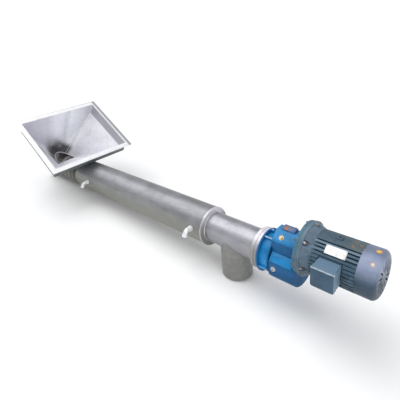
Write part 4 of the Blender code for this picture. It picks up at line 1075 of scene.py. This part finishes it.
plate = {"x": 0.7080, "halfLength": 0.0425, "halfWidth": 0.0188, "thick": 0.0012, "lean": radians(39)}
halfL, halfW, thick = plate["halfLength"], plate["halfWidth"], plate["thick"]
platePlace = around(plate["lean"], finR + 2 * gap, plate["x"], motorZ)
bm = rounded(block((-halfL, -halfW, 0), (halfL, halfW, thick)), 0.003, 3, where=along(2, 0.0005))
replace("motor_nameplate", moved(bm, platePlace), "plateWhite")
bm = bmesh.new()
for sx, sy in signs:
    bmesh.ops.create_uvsphere(bm, u_segments=12, v_segments=6, radius=0.0016,
                              matrix=shift(sx * (halfL - 0.004), sy * (halfW - 0.004), thick))
finish("NameplateRivets", moved(bm, platePlace), "plugSteel", "plug_steel")

front, lidBack, lip = box["front"], box["front"] + box["lid"], box["lip"]
bm = block((boxX0, lidBack + gap, boxZ0), (boxX1, box["back"] - gap, boxZ1))
rounded(bm, 0.006, 3, where=along(1, 0.01))
replace("terminal_box_base", rounded(bm, 0.0008, 1), "boxSlate")
bm = block((boxX0 - lip, front, boxZ0 - lip), (boxX1 + lip, lidBack, boxZ1 + lip))
rounded(bm, 0.010, 4, where=along(1, 0.01))
rounded(bm, 0.004, 3, where=lambda edge: ends(edge, 1)[1] < front + 0.001)
replace("terminal_box_lid", bm, "boxSlate")
bm = add(bmesh.new(), boltShape(0.0075, 0.0016, sides=16), *(
    shift(x, front + 0.0008, z) @ towardNear
    for x in (boxX0 + 0.010, boxX1 - 0.010) for z in (boxZ0 + 0.010, boxZ1 - 0.010)))
finish("LidScrews", bm, "boxSlate", "motor_slate")
for node in ("fan_hub", "cooling_fan"):
    frame["nodes"][node].data.materials.clear()
    frame["nodes"][node].data.materials.append(paints["screwSteel"])
print("motor made")


# Floor, light and camera

studio = {"world": 0.42, "sky": (0.96, 0.97, 1.0), "floor": (0.95, 0.95, 0.95),
          "dish": ((0.0, 0.0), (20.0, 0.0), (60.0, 6.0)),          # (radius, height) points
          "keyFrom": (-0.50, -0.10, 0.86), "key": 1.9, "keyAngle": 60.0,
          "fillFrom": (0.78, -0.30, 0.55), "fill": 1.3, "fillAngle": 80.0}
bm = bmesh.new()                       # flat, with its far edge raised above the horizon
points = [bm.verts.new((radius, 0.0, height)) for radius, height in studio["dish"]]
edges = [bm.edges.new(pair) for pair in zip(points, points[1:])]
bmesh.ops.spin(bm, geom=points + edges, cent=(0, 0, 0), axis=(0, 0, 1), angle=2 * pi, steps=48,
               use_merge=True)
tidied(bm)
if max(bm.faces, key=lambda face: -face.calc_center_median().length).normal.z < 0:
    bmesh.ops.reverse_faces(bm, faces=bm.faces)
floor = looseObject(bm, "floor")
floorPaint = Paint("floorPaint", 0.0, 0.8)
floor.data.materials.append(floorPaint.set(colour=studio["floor"]))

world = bpy.data.worlds.new("studio")
world.use_nodes = True
world.node_tree.nodes["Background"].inputs["Color"].default_value = (*studio["sky"], 1.0)
world.node_tree.nodes["Background"].inputs["Strength"].default_value = studio["world"]
bpy.context.scene.world = world
for name in ("key", "fill"):
    data = bpy.data.lights.new(name, "SUN")
    data.energy, data.angle = studio[name], radians(studio[name + "Angle"])
    linked(name, data).rotation_euler = Vector(studio[name + "From"]).to_track_quat("Z", "Y").to_euler()

view = {"place": (1.61195, -1.2547, 1.41676), "turn": (65.3347, 2.9803, 43.5498), "lens": 31.955,
        "shift": (0.0252, -0.1034)}
camera = linked("camera", bpy.data.cameras.new("camera"))
camera.location = view["place"]
camera.rotation_euler = [radians(angle) for angle in view["turn"]]
camera.data.sensor_width, camera.data.lens = 36.0, view["lens"]
camera.data.shift_x, camera.data.shift_y = view["shift"]
bpy.context.scene.camera = camera
bpy.context.scene.view_settings.view_transform = "Standard"
print("stage made")
